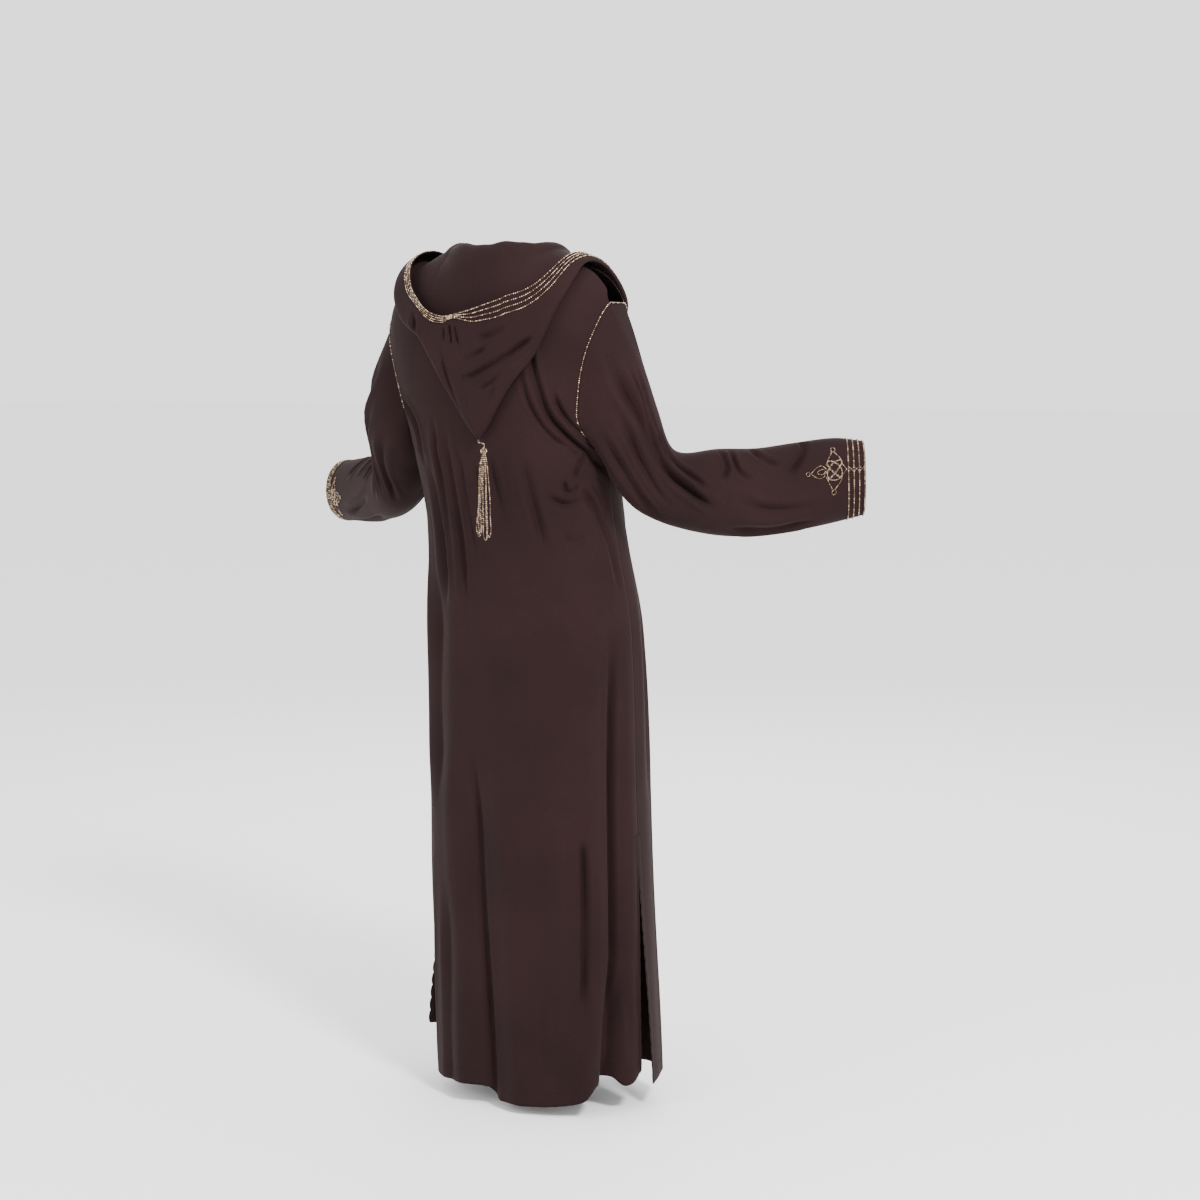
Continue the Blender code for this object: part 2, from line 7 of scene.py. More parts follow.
import bpy
import numpy as np
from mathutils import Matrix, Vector


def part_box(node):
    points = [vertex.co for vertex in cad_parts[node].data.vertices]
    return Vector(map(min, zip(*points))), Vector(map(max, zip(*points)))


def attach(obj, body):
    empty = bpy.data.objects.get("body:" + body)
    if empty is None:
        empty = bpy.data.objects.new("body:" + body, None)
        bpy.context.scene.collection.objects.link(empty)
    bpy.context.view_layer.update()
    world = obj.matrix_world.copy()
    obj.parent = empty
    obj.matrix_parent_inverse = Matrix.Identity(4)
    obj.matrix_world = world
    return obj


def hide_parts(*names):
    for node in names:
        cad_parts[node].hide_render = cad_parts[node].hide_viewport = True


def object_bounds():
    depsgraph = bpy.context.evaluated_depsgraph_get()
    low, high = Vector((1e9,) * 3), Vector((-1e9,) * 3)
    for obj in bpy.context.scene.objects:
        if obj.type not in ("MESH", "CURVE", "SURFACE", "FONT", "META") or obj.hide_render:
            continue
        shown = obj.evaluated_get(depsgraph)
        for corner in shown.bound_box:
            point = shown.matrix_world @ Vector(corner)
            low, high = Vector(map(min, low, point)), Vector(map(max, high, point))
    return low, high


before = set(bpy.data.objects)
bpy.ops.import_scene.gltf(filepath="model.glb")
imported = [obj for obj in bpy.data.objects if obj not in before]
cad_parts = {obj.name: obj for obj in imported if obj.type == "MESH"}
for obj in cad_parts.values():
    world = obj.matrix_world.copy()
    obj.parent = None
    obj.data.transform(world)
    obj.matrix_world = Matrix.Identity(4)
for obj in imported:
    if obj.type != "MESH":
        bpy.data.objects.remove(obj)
cad_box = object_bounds()


# ---------------------------------------------------------------- floor, light and camera
# A plain pale floor just under the hem, one broad soft light beside the camera, a second on the
# other side, and a weak one from behind that keeps the dark cloth off the background.

FLOOR_DROP = 0.022
FLOOR_REACH = 60.0


def plain_finish(name, colour, roughness):
    """Plain matte finish of something that isn't part of the robe."""
    made = bpy.data.materials.new(name)
    made.use_nodes = True
    shader = made.node_tree.nodes["Principled BSDF"]
    shader.inputs["Base Color"].default_value = (*colour, 1.0)
    shader.inputs["Roughness"].default_value = roughness
    return made


floor_height = cad_box[0].z - FLOOR_DROP
floor_mesh = bpy.data.meshes.new("floor")
floor_mesh.from_pydata(
    [(x * FLOOR_REACH, y * FLOOR_REACH, floor_height) for x, y in ((-1, -1), (1, -1), (1, 1), (-1, 1))],
    [], [(0, 1, 2, 3)])
floor_mesh.materials.append(plain_finish("floor_paper", (0.95, 0.95, 0.95), 0.95))
floor = bpy.data.objects.new("floor", floor_mesh)
bpy.context.scene.collection.objects.link(floor)

world = bpy.data.worlds.new("studio")
world.use_nodes = True
world.node_tree.nodes["Background"].inputs["Color"].default_value = (1.0, 1.0, 1.0, 1.0)
world.node_tree.nodes["Background"].inputs["Strength"].default_value = 1.9
bpy.context.scene.world = world

light_aim = Vector((-0.05, -0.05, -0.6))

# Soft lights: name, place, size, watts
for name, place, size, watts in (
    ("key", (-3.4, 1.9, 2.4), 0.9, 330.0),
    ("fill", (1.2, 4.0, 1.2), 1.6, 60.0),
    ("rim", (1.6, -3.2, 1.8), 2.0, 60.0),
):
    lamp = bpy.data.lights.new(name, "AREA")
    lamp.shape = "DISK"
    lamp.size = size
    lamp.energy = watts
    light = bpy.data.objects.new(name, lamp)
    light.location = place
    light.rotation_euler = (light_aim - Vector(place)).to_track_quat("-Z", "Y").to_euler()
    bpy.context.scene.collection.objects.link(light)

camera_place = Vector((-2.31, 3.27, -0.19))
camera_aim = Vector((-0.127, -0.082, -0.574))
camera = bpy.data.objects.new("camera", bpy.data.cameras.new("camera"))
camera.location = camera_place
camera.rotation_euler = (camera_aim - camera_place).to_track_quat("-Z", "Y").to_euler()
camera.data.angle = math.radians(27.7)
bpy.context.scene.collection.objects.link(camera)
bpy.context.scene.camera = camera


# ---------------------------------------------------------------- back and front panels
# Two lengths of crepe, shoulder to hem, joined at the shoulders and down the sides to the slits.
# They hang from the shoulders, drag towards the armholes, and fall in long soft folds to the hem.

MM = 0.001
PERCENT = 0.01
CLOTH_WALL = 0.0012        # crepe
SHOULDER_END = -0.090      # where the shoulder seam meets the armhole
UNDERARM = -0.325
SLIT_TOP = -0.950
SLIT_DEPTH = 0.45          # height over which a slit opens to its full width
HEM_BACK = -1.390
HEM_FRONT = -1.352
HEM_CORNERS = (0.042, 0.014)   # how far the back hem rises to its right and to its left corner
HEM_FRONT_SLOPE = 0.018    # how far the front hem rises from its middle to its left corner
NECK_HALF = 0.075
NECK_BACK = 0.060          # how far the neckline runs back of the shoulder seam
V_NECK = 0.160             # depth of the V at the front
SHOULDER_HALF = 0.215
SHOULDER_ROLL = 0.120      # height over which the shoulder rounds over
ROUNDNESS = 2.2            # exponent of the body's sections: 2 is an ellipse
ARMHOLE_REACH = 0.53       # how far the armhole's edge stands in front of and behind the side
ARMHOLE_SCOOP = 0.065      # height of the rounded bottom of the armhole
ACROSS_LENGTH = 0.26       # half the width of a panel along the cloth
CREASE_GAIN = 1.35         # depth at the bottom of a crease, to the depth in its row
CREASE_SIDES = 0.34        # height of the rolls on both sides of it, to its depth
PANEL_COLUMNS = 156
PANEL_ROWS_LOW = 190
PANEL_ROWS_HIGH = 110

# Shoulder seam: distance from the centre, height
SHOULDER = ((0.0, 0.0), (0.075, 0.0), (0.12, -0.018), (0.18, -0.041), (0.207, -0.067), (0.215, -0.09))

# Body sections: height, half width, back y, front y, centre x, centre y
BODY = (
    (-1.40, 0.203, 0.083, -0.215, -0.026, -0.065),
    (-1.23, 0.200, 0.082, -0.212, -0.024, -0.063),
    (-0.90, 0.193, 0.084, -0.202, -0.020, -0.058),
    (-0.61, 0.190, 0.086, -0.185, -0.017, -0.050),
    (-0.48, 0.176, 0.090, -0.163, -0.014, -0.038),
    (-0.40, 0.173, 0.097, -0.155, -0.008, -0.033),
    (-0.32, 0.184, 0.107, -0.150, -0.004, -0.020),
    (-0.21, 0.206, 0.115, -0.128, 0.003, -0.010),
    (-0.12, 0.227, 0.110, -0.105, 0.004, -0.008),
    (0.02, 0.247, 0.108, -0.085, 0.004, -0.005),
)

# How far the slit edges stand away from the side seam line at the hem, in x and y
SLIT_PULL = {
    ("back", 1): (-0.048, 0.004),
    ("back", -1): (0.006, 0.004),
    ("front", 1): (0.042, 0.000),
    ("front", -1): (-0.012, -0.004),
}

# How far the back hem is lifted, as its folds hang: across (-1 right side seam, 1 left), lift
HEM_LIFT = (
    (-1.0, 0.000), (-0.84, 0.000), (-0.77, 0.020), (-0.62, 0.022), (-0.53, 0.002), (-0.40, -0.004),
    (-0.10, -0.006), (0.02, -0.004), (0.07, 0.012), (0.45, 0.008), (1.0, 0.0),
)

# Creases of the panels. Columns: half width and depth in mm, how much of its length it takes to start
# and to end in percent, and its way as points of (across in percent of half the panel, height in mm)
PANEL_CREASES = {
    "back": (
        (24, 10, 30, 0, ((13, -780), (11, -980), (7, -1180), (3, -1420))),
        (6, 6, 25, 0, ((12.5, -780), (9, -980), (6, -1160), (3, -1420))),
        (16, 5, 30, 30, ((-57, -900), (-58, -1050), (-57, -1300))),
        (4.5, 6, 10, 20, ((-56.5, -950), (-56.5, -1060), (-54, -1240))),
        (20, 14, 30, 0, ((-80, -540), (-81, -800), (-79, -1140), (-70, -1420))),
        (6.5, 8, 20, 0, ((-84, -580), (-81, -740), (-79, -920), (-77.5, -1150), (-70, -1270),
            (-68, -1420))),
        (24, 16, 50, 0, ((-78, -1140), (-75, -1260), (-69, -1420))),
        (5, 4, 30, 30, ((-93, -1140), (-95, -1200), (-95, -1280))),
        (5, 3, 30, 30, ((-87, -1200), (-88.5, -1260), (-88, -1340))),
        (20, 8, 30, 30, ((42, -500), (43, -700), (46, -940))),
        (12, 5, 30, 10, ((58, -950), (62, -1150), (66, -1380))),
        (14, 4, 30, 10, ((33, -1020), (34, -1200), (33, -1400))),
        (18, 4, 30, 20, ((-28, -860), (-30, -1100), (-27, -1400))),
        (6.5, 9, 15, 10, ((-42, -140), (-45, -185), (-57, -260), (-68, -296), (-82, -334), (-99, -360))),
        (4.5, 4.5, 25, 20, ((-36, -200), (-44, -250), (-54, -296), (-64, -322))),
        (4.5, 5.5, 15, 25, ((-77, -328), (-71, -350), (-67, -372))),
        (4.5, 5.5, 20, 20, ((-71, -376), (-66, -389), (-61, -386), (-60, -368))),
        (5.5, 6, 25, 20, ((-60, -225), (-74, -268), (-94, -306))),
        (6.5, 7.5, 15, 25, ((-71, -380), (-76, -392), (-83, -414), (-88, -448), (-93, -490), (-95, -560))),
        (5, 5, 25, 30, ((-80, -376), (-88, -402), (-95, -450))),
        (5.5, 6, 25, 30, ((-46, -388), (-52, -402), (-61, -408), (-70, -404), (-78, -410))),
        (6, 3, 30, 35, ((-52, -455), (-63, -470), (-76, -462))),
        (7.5, 6, 25, 35, ((-32, -330), (-34, -370), (-38, -430), (-41, -500))),
        (7, 5, 25, 35, ((-11, -320), (-13, -360), (-17, -440))),
        (5, 3.5, 30, 35, ((-1, -330), (-2, -390), (-3, -460))),
        (6.5, 6, 20, 35, ((19, -280), (18, -380), (16, -500), (13, -620))),
        (5, 4.5, 25, 35, ((30, -260), (28, -360), (27, -470))),
        (4.5, 3.5, 25, 35, ((10, -310), (9, -400), (6, -520))),
        (8, 6, 30, 35, ((39, -340), (37, -420), (33, -520), (31, -600))),
        (6, 6, 20, 30, ((86, -220), (74, -250), (58, -272), (50, -300), (45, -360))),
        (5.5, 5, 20, 30, ((95, -300), (82, -330), (70, -370), (62, -440))),
        (12, 4, 30, 30, ((72, -430), (66, -520), (64, -620))),
    ),
    "front": (
        (24, 12, 30, 0, ((-45, -600), (-47, -900), (-52, -1400))),
        (7, 5, 25, 0, ((-44, -720), (-47, -1000), (-50, -1400))),
        (20, 7, 30, 0, ((-8, -840), (-5, -1100), (-2, -1400))),
        (24, 12, 30, 0, ((30, -540), (34, -900), (38, -1400))),
        (8, 5, 25, 0, ((32, -700), (36, -1050), (38, -1400))),
        (20, 8, 30, 0, ((70, -780), (72, -1050), (74, -1400))),
        (10, 6, 30, 30, ((70, -220), (58, -270), (42, -360), (25, -470))),
        (10, 6, 30, 30, ((-72, -220), (-58, -260), (-42, -350), (-28, -430))),
        (7, 4, 30, 30, ((88, -330), (70, -370), (52, -440))),
        (7, 4, 30, 30, ((-90, -340), (-74, -380), (-60, -460))),
        (12, 4, 30, 30, ((5, -300), (3, -420), (6, -550))),
        (12, 4, 30, 30, ((-80, -520), (-78, -700), (-80, -920))),
    ),
}


def through(rows, key):
    """Columns of a table at each key, its first column, on smooth curves through the rows."""
    rows = np.array(rows)
    keys = rows[:, 0]
    at = np.clip(key, keys[0], keys[-1])
    low = np.clip(np.searchsorted(keys, at, side="right") - 1, 0, len(keys) - 2)
    before = np.maximum(low - 1, 0)
    after = np.minimum(low + 2, len(keys) - 1)
    step = (keys[low + 1] - keys[low])[..., None]
    f = (at - keys[low])[..., None] / step
    a = rows[low, 1:]
    b = rows[low + 1, 1:]
    slope_a = (b - rows[before, 1:]) / (keys[low + 1] - keys[before])[..., None]
    slope_b = (rows[after, 1:] - a) / (keys[after] - keys[low])[..., None]
    curve = a * (1 - f) ** 2 * (1 + 2 * f) + b * f ** 2 * (3 - 2 * f)
    return np.moveaxis(curve + step * f * (1 - f) * (slope_a * (1 - f) - slope_b * f), -1, 0)


def ease(value):
    """0 to 1 as value goes from 0 to 1, level at both ends."""
    t = np.clip(value, 0.0, 1.0)
    return t * t * (3 - 2 * t)


def unit(vectors):
    return vectors / np.maximum(np.linalg.norm(vectors, axis=-1, keepdims=True), 1e-9)


def shoulder_height(x):
    return through(SHOULDER, np.abs(x))[0]


def body_points(x, z, side):
    """Points of the body at x and height z, on its back (side 1) or its front (side -1)."""
    half, back, front, cx, cy = through(BODY, z)
    depth = (back if side > 0 else front) - cy
    across = np.minimum(np.abs(x - cx) / half, 1.0)
    full = cy + depth * (1 - across ** ROUNDNESS) ** (1 / ROUNDNESS)
    rise = np.clip((shoulder_height(x) - z) / SHOULDER_ROLL, 0.0, 1.0)
    neck = np.maximum(1 - (x / NECK_HALF) ** 2, 0.0) * NECK_BACK if side > 0 else 0.0
    y = neck + (full - neck) * np.sqrt(1 - (1 - rise) ** 2)
    return np.stack(np.broadcast_arrays(x, y, z), axis=-1)


def panel_points(panel, across, up):
    """Points of a panel: across from -1 to 1, up from 0 at the hem to 1 at the underarm to 2."""
    across, up = np.broadcast_arrays(across, up)
    side = 1 if panel == "back" else -1
    bend = np.sin(across * math.pi / 2)
    rise = np.where(across < 0, *HEM_CORNERS) * np.abs(across) ** 3 + through(HEM_LIFT, across)[0]
    hem = HEM_BACK + rise if panel == "back" else HEM_FRONT + HEM_FRONT_SLOPE * across
    z = hem + (UNDERARM - hem) * np.minimum(up, 1.0)
    half, _, _, cx, _ = through(BODY, z)
    low = body_points(cx + half * bend, z, side)
    fall = ease((SLIT_TOP - z) / SLIT_DEPTH) * np.abs(across) ** (3 if panel == "back" else 6)
    for edge in (1, -1):
        for axis in (0, 1):
            low[..., axis] += SLIT_PULL[(panel, edge)][axis] * np.where(across * edge > 0, fall, 0.0)

    t = np.clip(up - 1, 0.0, 1.0)
    z_edge = UNDERARM + (SHOULDER_END - UNDERARM) * t
    body = through(BODY, z_edge)
    drop = np.clip((UNDERARM + ARMHOLE_SCOOP - z_edge) / ARMHOLE_SCOOP, 0.0, 1.0)
    reach = ARMHOLE_REACH * np.sqrt(1 - drop * drop)
    half = body[0] * (1 - reach ** ROUNDNESS) ** (1 / ROUNDNESS)
    half = half * (1 - t ** 6) + SHOULDER_HALF * t ** 6
    x_top = SHOULDER_HALF * bend
    top = shoulder_height(x_top)
    if panel == "front":
        top = np.where(np.abs(x_top) < NECK_HALF, -V_NECK * (1 - np.abs(x_top) / NECK_HALF), top)
    x = body[3] + half * bend
    z = UNDERARM + (top - UNDERARM) * t
    high = body_points(x, np.minimum(z, shoulder_height(x)), side)
    return np.where((up <= 1)[..., None], low, high)


def grid_normals(grid, closed):
    """Way out of the surface at each point of a grid."""
    if closed:
        along_row = np.roll(grid, -1, axis=1) - np.roll(grid, 1, axis=1)
    else:
        along_row = np.gradient(grid, axis=1)
    normals = unit(np.cross(along_row, np.gradient(grid, axis=0)))
    middle = grid.reshape(-1, 3).mean(axis=0)
    return normals if (normals * (grid - middle)).sum() > 0 else -normals


def distance_along(points, axis=0):
    """Distance from the first point of a line, or of each line of a grid along an axis."""
    steps = np.linalg.norm(np.diff(points, axis=axis), axis=-1)
    return np.pad(np.cumsum(steps, axis=axis), [(int(i == axis), 0) for i in range(steps.ndim)])


def at_distance(wanted, reached, points):
    """Points of a line at wanted distances along it."""
    return np.stack([np.interp(wanted, reached, points[:, k]) for k in range(3)], axis=-1)


def smooth_line(points, steps=6):
    """A smooth line through given points."""
    points = np.array(points)
    rows = np.concatenate((np.arange(len(points))[:, None], points), axis=1)
    return through(rows, np.linspace(0, len(points) - 1, (len(points) - 1) * steps + 1)).T


def laid(creases, place):
    """Creases of a table in metres and shares, with each point of their ways placed on the cloth."""
    return [
        (half_width * MM, depth * MM, start * PERCENT, end * PERCENT, [place(*point) for point in way])
        for half_width, depth, start, end, way in creases
    ]


def crease_depth(creases, s, z):
    """Depth of all the creases at places on the cloth, with the cloth rolled up at both sides."""
    total = np.zeros(np.broadcast(s, z).shape)
    for number, (half_width, depth, start, end, way) in enumerate(creases):
        line = smooth_line(way)
        reached = distance_along(line)
        spans = np.diff(reached)
        nearest = np.full(total.shape, 1e9)
        share = np.zeros(total.shape)
        for i, span in enumerate(spans):
            run = (line[i + 1] - line[i]) / span
            along = np.clip((s - line[i, 0]) * run[0] + (z - line[i, 1]) * run[1], 0.0, span)
            ds = s - line[i, 0] - run[0] * along
            dz = z - line[i, 1] - run[1] * along
            away = np.hypot(ds, dz) * np.where(ds * run[1] - dz * run[0] > 0, 1.0, -1.0)
            closer = np.abs(away) < np.abs(nearest)
            nearest = np.where(closer, away, nearest)
            share = np.where(closer, (reached[i] + along) / reached[-1], share)
        lean = 0.25 * math.sin(2.4 * number)
        across = nearest / (half_width * (1 + lean * np.sign(nearest)))
        fade = ease(share / start) if start else 1.0
        fade = fade * (ease((1 - share) / end) if end else 1.0)
        uneven = 1 + 0.22 * np.sin(9 * share + 2.1 * number)
        sides = CREASE_SIDES * np.exp(-((np.abs(across) - 2.0) / 0.8) ** 2)
        total -= CREASE_GAIN * depth * (np.exp(-1.1 * np.abs(across) ** 1.35) - sides) * fade * uneven
    return total


def soft_waves(s, z, height, seed):
    """Slight long unevenness that hanging crepe has everywhere."""
    rng = np.random.default_rng(seed)
    total = np.zeros(np.broadcast(s, z).shape)
    for _ in range(7):
        across, along = rng.uniform(16, 60), rng.uniform(-9, 9)
        total += np.sin(across * s + along * z + rng.uniform(0, 6.28)) * rng.uniform(0.4, 1.0) * 16 / across
    return total * height


def finish(name, roughness, specular):
    """A finish of this robe: its material, its node tree and its shader."""
    made = bpy.data.materials.new(name)
    made.use_nodes = True
    shader = made.node_tree.nodes["Principled BSDF"]
    shader.inputs["Roughness"].default_value = roughness
    shader.inputs["Specular IOR Level"].default_value = specular
    return made, made.node_tree, shader


def speckle(tree, scale, detail):
    """Noise over the object's own coordinates."""
    place = tree.nodes.new("ShaderNodeTexCoord")
    noise = tree.nodes.new("ShaderNodeTexNoise")
    noise.inputs["Scale"].default_value = scale
    noise.inputs["Detail"].default_value = detail
    tree.links.new(place.outputs["Object"], noise.inputs["Vector"])
    return noise.outputs["Fac"]


def ramp(tree, value, *stops):
    """Colour ramp over a value: position and colour of each stop."""
    made = tree.nodes.new("ShaderNodeValToRGB")
    colours = made.color_ramp.elements
    for stop, (at, colour) in enumerate(stops):
        element = colours[0] if stop == 0 else colours[-1] if stop == len(stops) - 1 else colours.new(at)
        element.position = at
        element.color = (*colour, 1.0)
    tree.links.new(value, made.inputs["Fac"])
    return made.outputs["Color"]


def bump(tree, height, strength, distance, under=None):
    """Bump from a height, over another bump if there is one."""
    made = tree.nodes.new("ShaderNodeBump")
    made.inputs["Strength"].default_value = strength
    made.inputs["Distance"].default_value = distance
    tree.links.new(height, made.inputs["Height"])
    if under:
        tree.links.new(under, made.inputs["Normal"])
    return made.outputs["Normal"]


def multiply(tree, a, b):
    """Product of two colours."""
    made = tree.nodes.new("ShaderNodeMix")
    made.data_type = "RGBA"
    made.blend_type = "MULTIPLY"
    made.inputs["Factor"].default_value = 1.0
    tree.links.new(a, made.inputs["A"])
    tree.links.new(b, made.inputs["B"])
    return made.outputs["Result"]


def crepe_finish():
    """Aubergine crepe: matte, pebbled by its twisted yarns, with a slight soft bloom."""
    made, tree, shader = finish("aubergine_crepe", 0.86, 0.12)
    tone = ramp(tree, speckle(tree, 7.0, 3.0),
                (0.30, (0.0112, 0.0040, 0.0044)), (0.72, (0.0160, 0.0058, 0.0063)))
    fleck = ramp(tree, speckle(tree, 620.0, 2.0), (0.30, (0.78, 0.78, 0.78)), (0.70, (1.0, 1.0, 1.0)))
    tree.links.new(multiply(tree, tone, fleck), shader.inputs["Base Color"])
    cut = tree.nodes.new("ShaderNodeUVMap")
    cut.uv_map = "cloth"
    yarns = tree.nodes.new("ShaderNodeTexWave")
    yarns.inputs["Scale"].default_value = 260.0
    yarns.inputs["Distortion"].default_value = 3.0
    tree.links.new(cut.outputs["UV"], yarns.inputs["Vector"])
    pebble = bump(tree, speckle(tree, 900.0, 2.0), 0.35, 0.0006)
    crinkle = bump(tree, yarns.outputs["Fac"], 0.12, 0.0004, pebble)
    tree.links.new(bump(tree, speckle(tree, 75.0, 4.0), 0.10, 0.0020, crinkle), shader.inputs["Normal"])
    shader.inputs["Sheen Weight"].default_value = 0.02
    shader.inputs["Sheen Roughness"].default_value = 0.45
    shader.inputs["Sheen Tint"].default_value = (0.60, 0.38, 0.36, 1.0)
    return made


crepe = crepe_finish()


def stand_for(piece, nodes):
    """Make a piece stand for nodes of the part, hiding them, and put it on its one body."""
    if nodes:
        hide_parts(*nodes)
    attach(piece, "root")


def cloth_piece(name, node, grid, closed=False, wall=CLOTH_WALL, made=None):
    """Thin cloth on a grid of points, standing for a node, with a UV map in metres over the cloth."""
    rows, columns = grid.shape[:2]
    index = np.arange(rows * columns).reshape(rows, columns)
    round_grid = grid
    if closed:
        index = np.concatenate((index, index[:, :1]), axis=1)
        round_grid = np.concatenate((grid, grid[:, :1]), axis=1)
    faces = np.stack((index[:-1, :-1], index[:-1, 1:], index[1:, 1:], index[1:, :-1]), axis=-1)
    across = np.diff(round_grid, axis=1)
    along = np.diff(round_grid, axis=0)
    u = distance_along(round_grid, 1)
    v = distance_along(round_grid)
    uv = np.stack((u - u.mean(axis=1, keepdims=True), v), axis=-1)
    corners = np.stack((uv[:-1, :-1], uv[:-1, 1:], uv[1:, 1:], uv[1:, :-1]), axis=2)
    outward = (np.cross(across[:-1], along[:, :-1]) * grid_normals(grid, closed)[:-1, :across.shape[1]]).sum()
    if outward < 0:
        faces = faces[..., ::-1]
        corners = corners[:, :, ::-1]
    mesh = bpy.data.meshes.new(name)
    mesh.from_pydata(grid.reshape(-1, 3).tolist(), [], faces.reshape(-1, 4).tolist())
    mesh.uv_layers.new(name="cloth").data.foreach_set("uv", np.ascontiguousarray(corners).reshape(-1))
    mesh.shade_smooth()
    mesh.materials.append(made or crepe)
    piece = bpy.data.objects.new(name, mesh)
    bpy.context.scene.collection.objects.link(piece)
    shell = piece.modifiers.new("wall", "SOLIDIFY")
    shell.thickness = wall
    shell.offset = 0.0
    stand_for(piece, [node])
    return piece


def panel_grid(panel):
    """Points of a panel with its creases, rows from the hem up, and the way off it at each."""
    across = np.linspace(-1, 1, PANEL_COLUMNS + 1)[None, :]
    low = 1 - (1 - np.linspace(0, 1, PANEL_ROWS_LOW + 1)[:-1]) ** 1.1
    high = 1.5 - 0.5 * np.cos(np.linspace(0, math.pi, PANEL_ROWS_HIGH + 1))
    up = np.concatenate((low, high))[:, None]
    grid = panel_points(panel, across, up)
    normals = grid_normals(grid, False)
    s = across * ACROSS_LENGTH
    z = grid[..., 2]
    creases = laid(PANEL_CREASES[panel], lambda a, height: (a * PERCENT * ACROSS_LENGTH, height * MM))
    free = (1 - np.abs(across) ** 8) * ease((2 - up) / 0.25)
    depth = crease_depth(creases, s, z) + soft_waves(s, z, 0.0013, 5 if panel == "back" else 6)
    grid = grid + normals * (depth * free)[..., None]
    return grid, grid_normals(grid, False)


panels = {}
for panel in ("back", "front"):
    panels[panel] = panel_grid(panel)
    cloth_piece(panel + "_panel_cloth", panel + "_panel", panels[panel][0])


# ---------------------------------------------------------------- slit edging
# A narrow satin edging sewn down both sides of each slit, worked in small scallops that stand a
# little beyond the cloth.

EDGING_WALL = 0.0009
EDGING_INSIDE = 0.0065     # how far it lies on the panel
SCALLOP_PITCH = 0.023
SCALLOP_HEIGHT = 0.0030


def edging_finish():
    """Dark satin thread, closer and slightly smoother than the crepe."""
    made, tree, shader = finish("satin_edging", 0.82, 0.12)
    tone = ramp(tree, speckle(tree, 300.0, 2.0),
                (0.30, (0.0095, 0.0040, 0.0044)), (0.70, (0.0155, 0.0066, 0.0072)))
    tree.links.new(tone, shader.inputs["Base Color"])
    tree.links.new(bump(tree, speckle(tree, 1100.0, 1.0), 0.30, 0.0004), shader.inputs["Normal"])
    return made


satin = edging_finish()
for panel, (grid, normals) in panels.items():
    for hand, column, inside in (("right", 0, 6), ("left", -1, -7)):
        slit = grid[:, column, 2] < SLIT_TOP
        edge = grid[slit, column]
        off = normals[slit, column]
        reached = distance_along(edge)
        fine = np.linspace(0, reached[-1], int(reached[-1] / SCALLOP_PITCH * 14))
        edge = at_distance(fine, reached, edge)
        off = unit(at_distance(fine, reached, off))
        inward = unit(at_distance(fine, reached, grid[slit, inside]) - edge)
        lobe = np.abs(np.sin(fine * math.pi / SCALLOP_PITCH))[:, None] ** 0.6 * SCALLOP_HEIGHT
        lift = off * (CLOTH_WALL / 2 + EDGING_WALL / 2 + 0.0001)
        strip = [edge + inward * EDGING_INSIDE * f + lift for f in (1.0, 0.6, 0.2)]
        strip += [edge - inward * lobe * f + lift * (1 - 0.6 * f) for f in (0.35, 0.8, 1.0)]
        name = f"slit_edge_{panel}_{hand}"
        scallops = np.stack(strip, axis=1)
        cloth_piece(name + "_scallops", name, scallops, wall=EDGING_WALL, made=satin)


# ---------------------------------------------------------------- sleeves
# One tube of crepe each, set into the armhole, bent at the elbow and open at the cuff. The bend
# gathers the cloth inside the elbow, and the weight of the wide forearm drags folds down to it.

SLEEVE_TURNS = 132
SLEEVE_ROWS = 210
SLEEVE_LENGTH = 0.52
SLEEVE_ROUND = 0.36
SLEEVE_CLEARANCE = 0.006   # between the sleeve and the body under the arm
CUFF_BAND = 0.062          # stiffened by the braid and the motif

# Way of each arm seen from above: distance along it, x, y
ARM_WAY = {
    "right": ((-0.06, -0.150, 0.026), (0.0, -0.196, -0.010), (0.11, -0.284, -0.065), (0.41, -0.536, -0.229)),
    "left": ((-0.06, 0.160, 0.030), (0.0, 0.206, -0.008), (0.10, 0.272, -0.062), (0.40, 0.532, -0.234)),
}

# Sleeve sections: place, distance along the arm and height of the upper line, the same of the
# lower line, half depth
SLEEVE = {
    "right": (
        (0.00, 0.016, -0.090, -0.020, -0.325, 0.067),
        (0.08, 0.036, -0.140, -0.012, -0.346, 0.064),
        (0.18, 0.058, -0.200, 0.006, -0.380, 0.059),
        (0.29, 0.079, -0.262, 0.041, -0.416, 0.054),
        (0.38, 0.098, -0.315, 0.086, -0.438, 0.053),
        (0.45, 0.121, -0.329, 0.136, -0.452, 0.052),
        (0.56, 0.176, -0.323, 0.191, -0.460, 0.050),
        (0.68, 0.238, -0.322, 0.248, -0.459, 0.048),
        (0.80, 0.300, -0.313, 0.305, -0.451, 0.046),
        (0.92, 0.364, -0.305, 0.366, -0.438, 0.043),
        (1.00, 0.408, -0.309, 0.411, -0.426, 0.041),
    ),
    "left": (
        (0.00, 0.016, -0.090, -0.020, -0.325, 0.067),
        (0.08, 0.042, -0.134, -0.012, -0.350, 0.079),
        (0.18, 0.058, -0.194, 0.006, -0.378, 0.070),
        (0.29, 0.072, -0.258, 0.035, -0.406, 0.057),
        (0.38, 0.090, -0.314, 0.076, -0.434, 0.050),
        (0.45, 0.114, -0.336, 0.122, -0.450, 0.045),
        (0.56, 0.168, -0.341, 0.180, -0.458, 0.043),
        (0.68, 0.228, -0.348, 0.236, -0.464, 0.041),
        (0.80, 0.290, -0.354, 0.294, -0.468, 0.039),
        (0.92, 0.352, -0.360, 0.354, -0.470, 0.037),
        (1.00, 0.402, -0.364, 0.404, -0.470, 0.036),
    ),
}

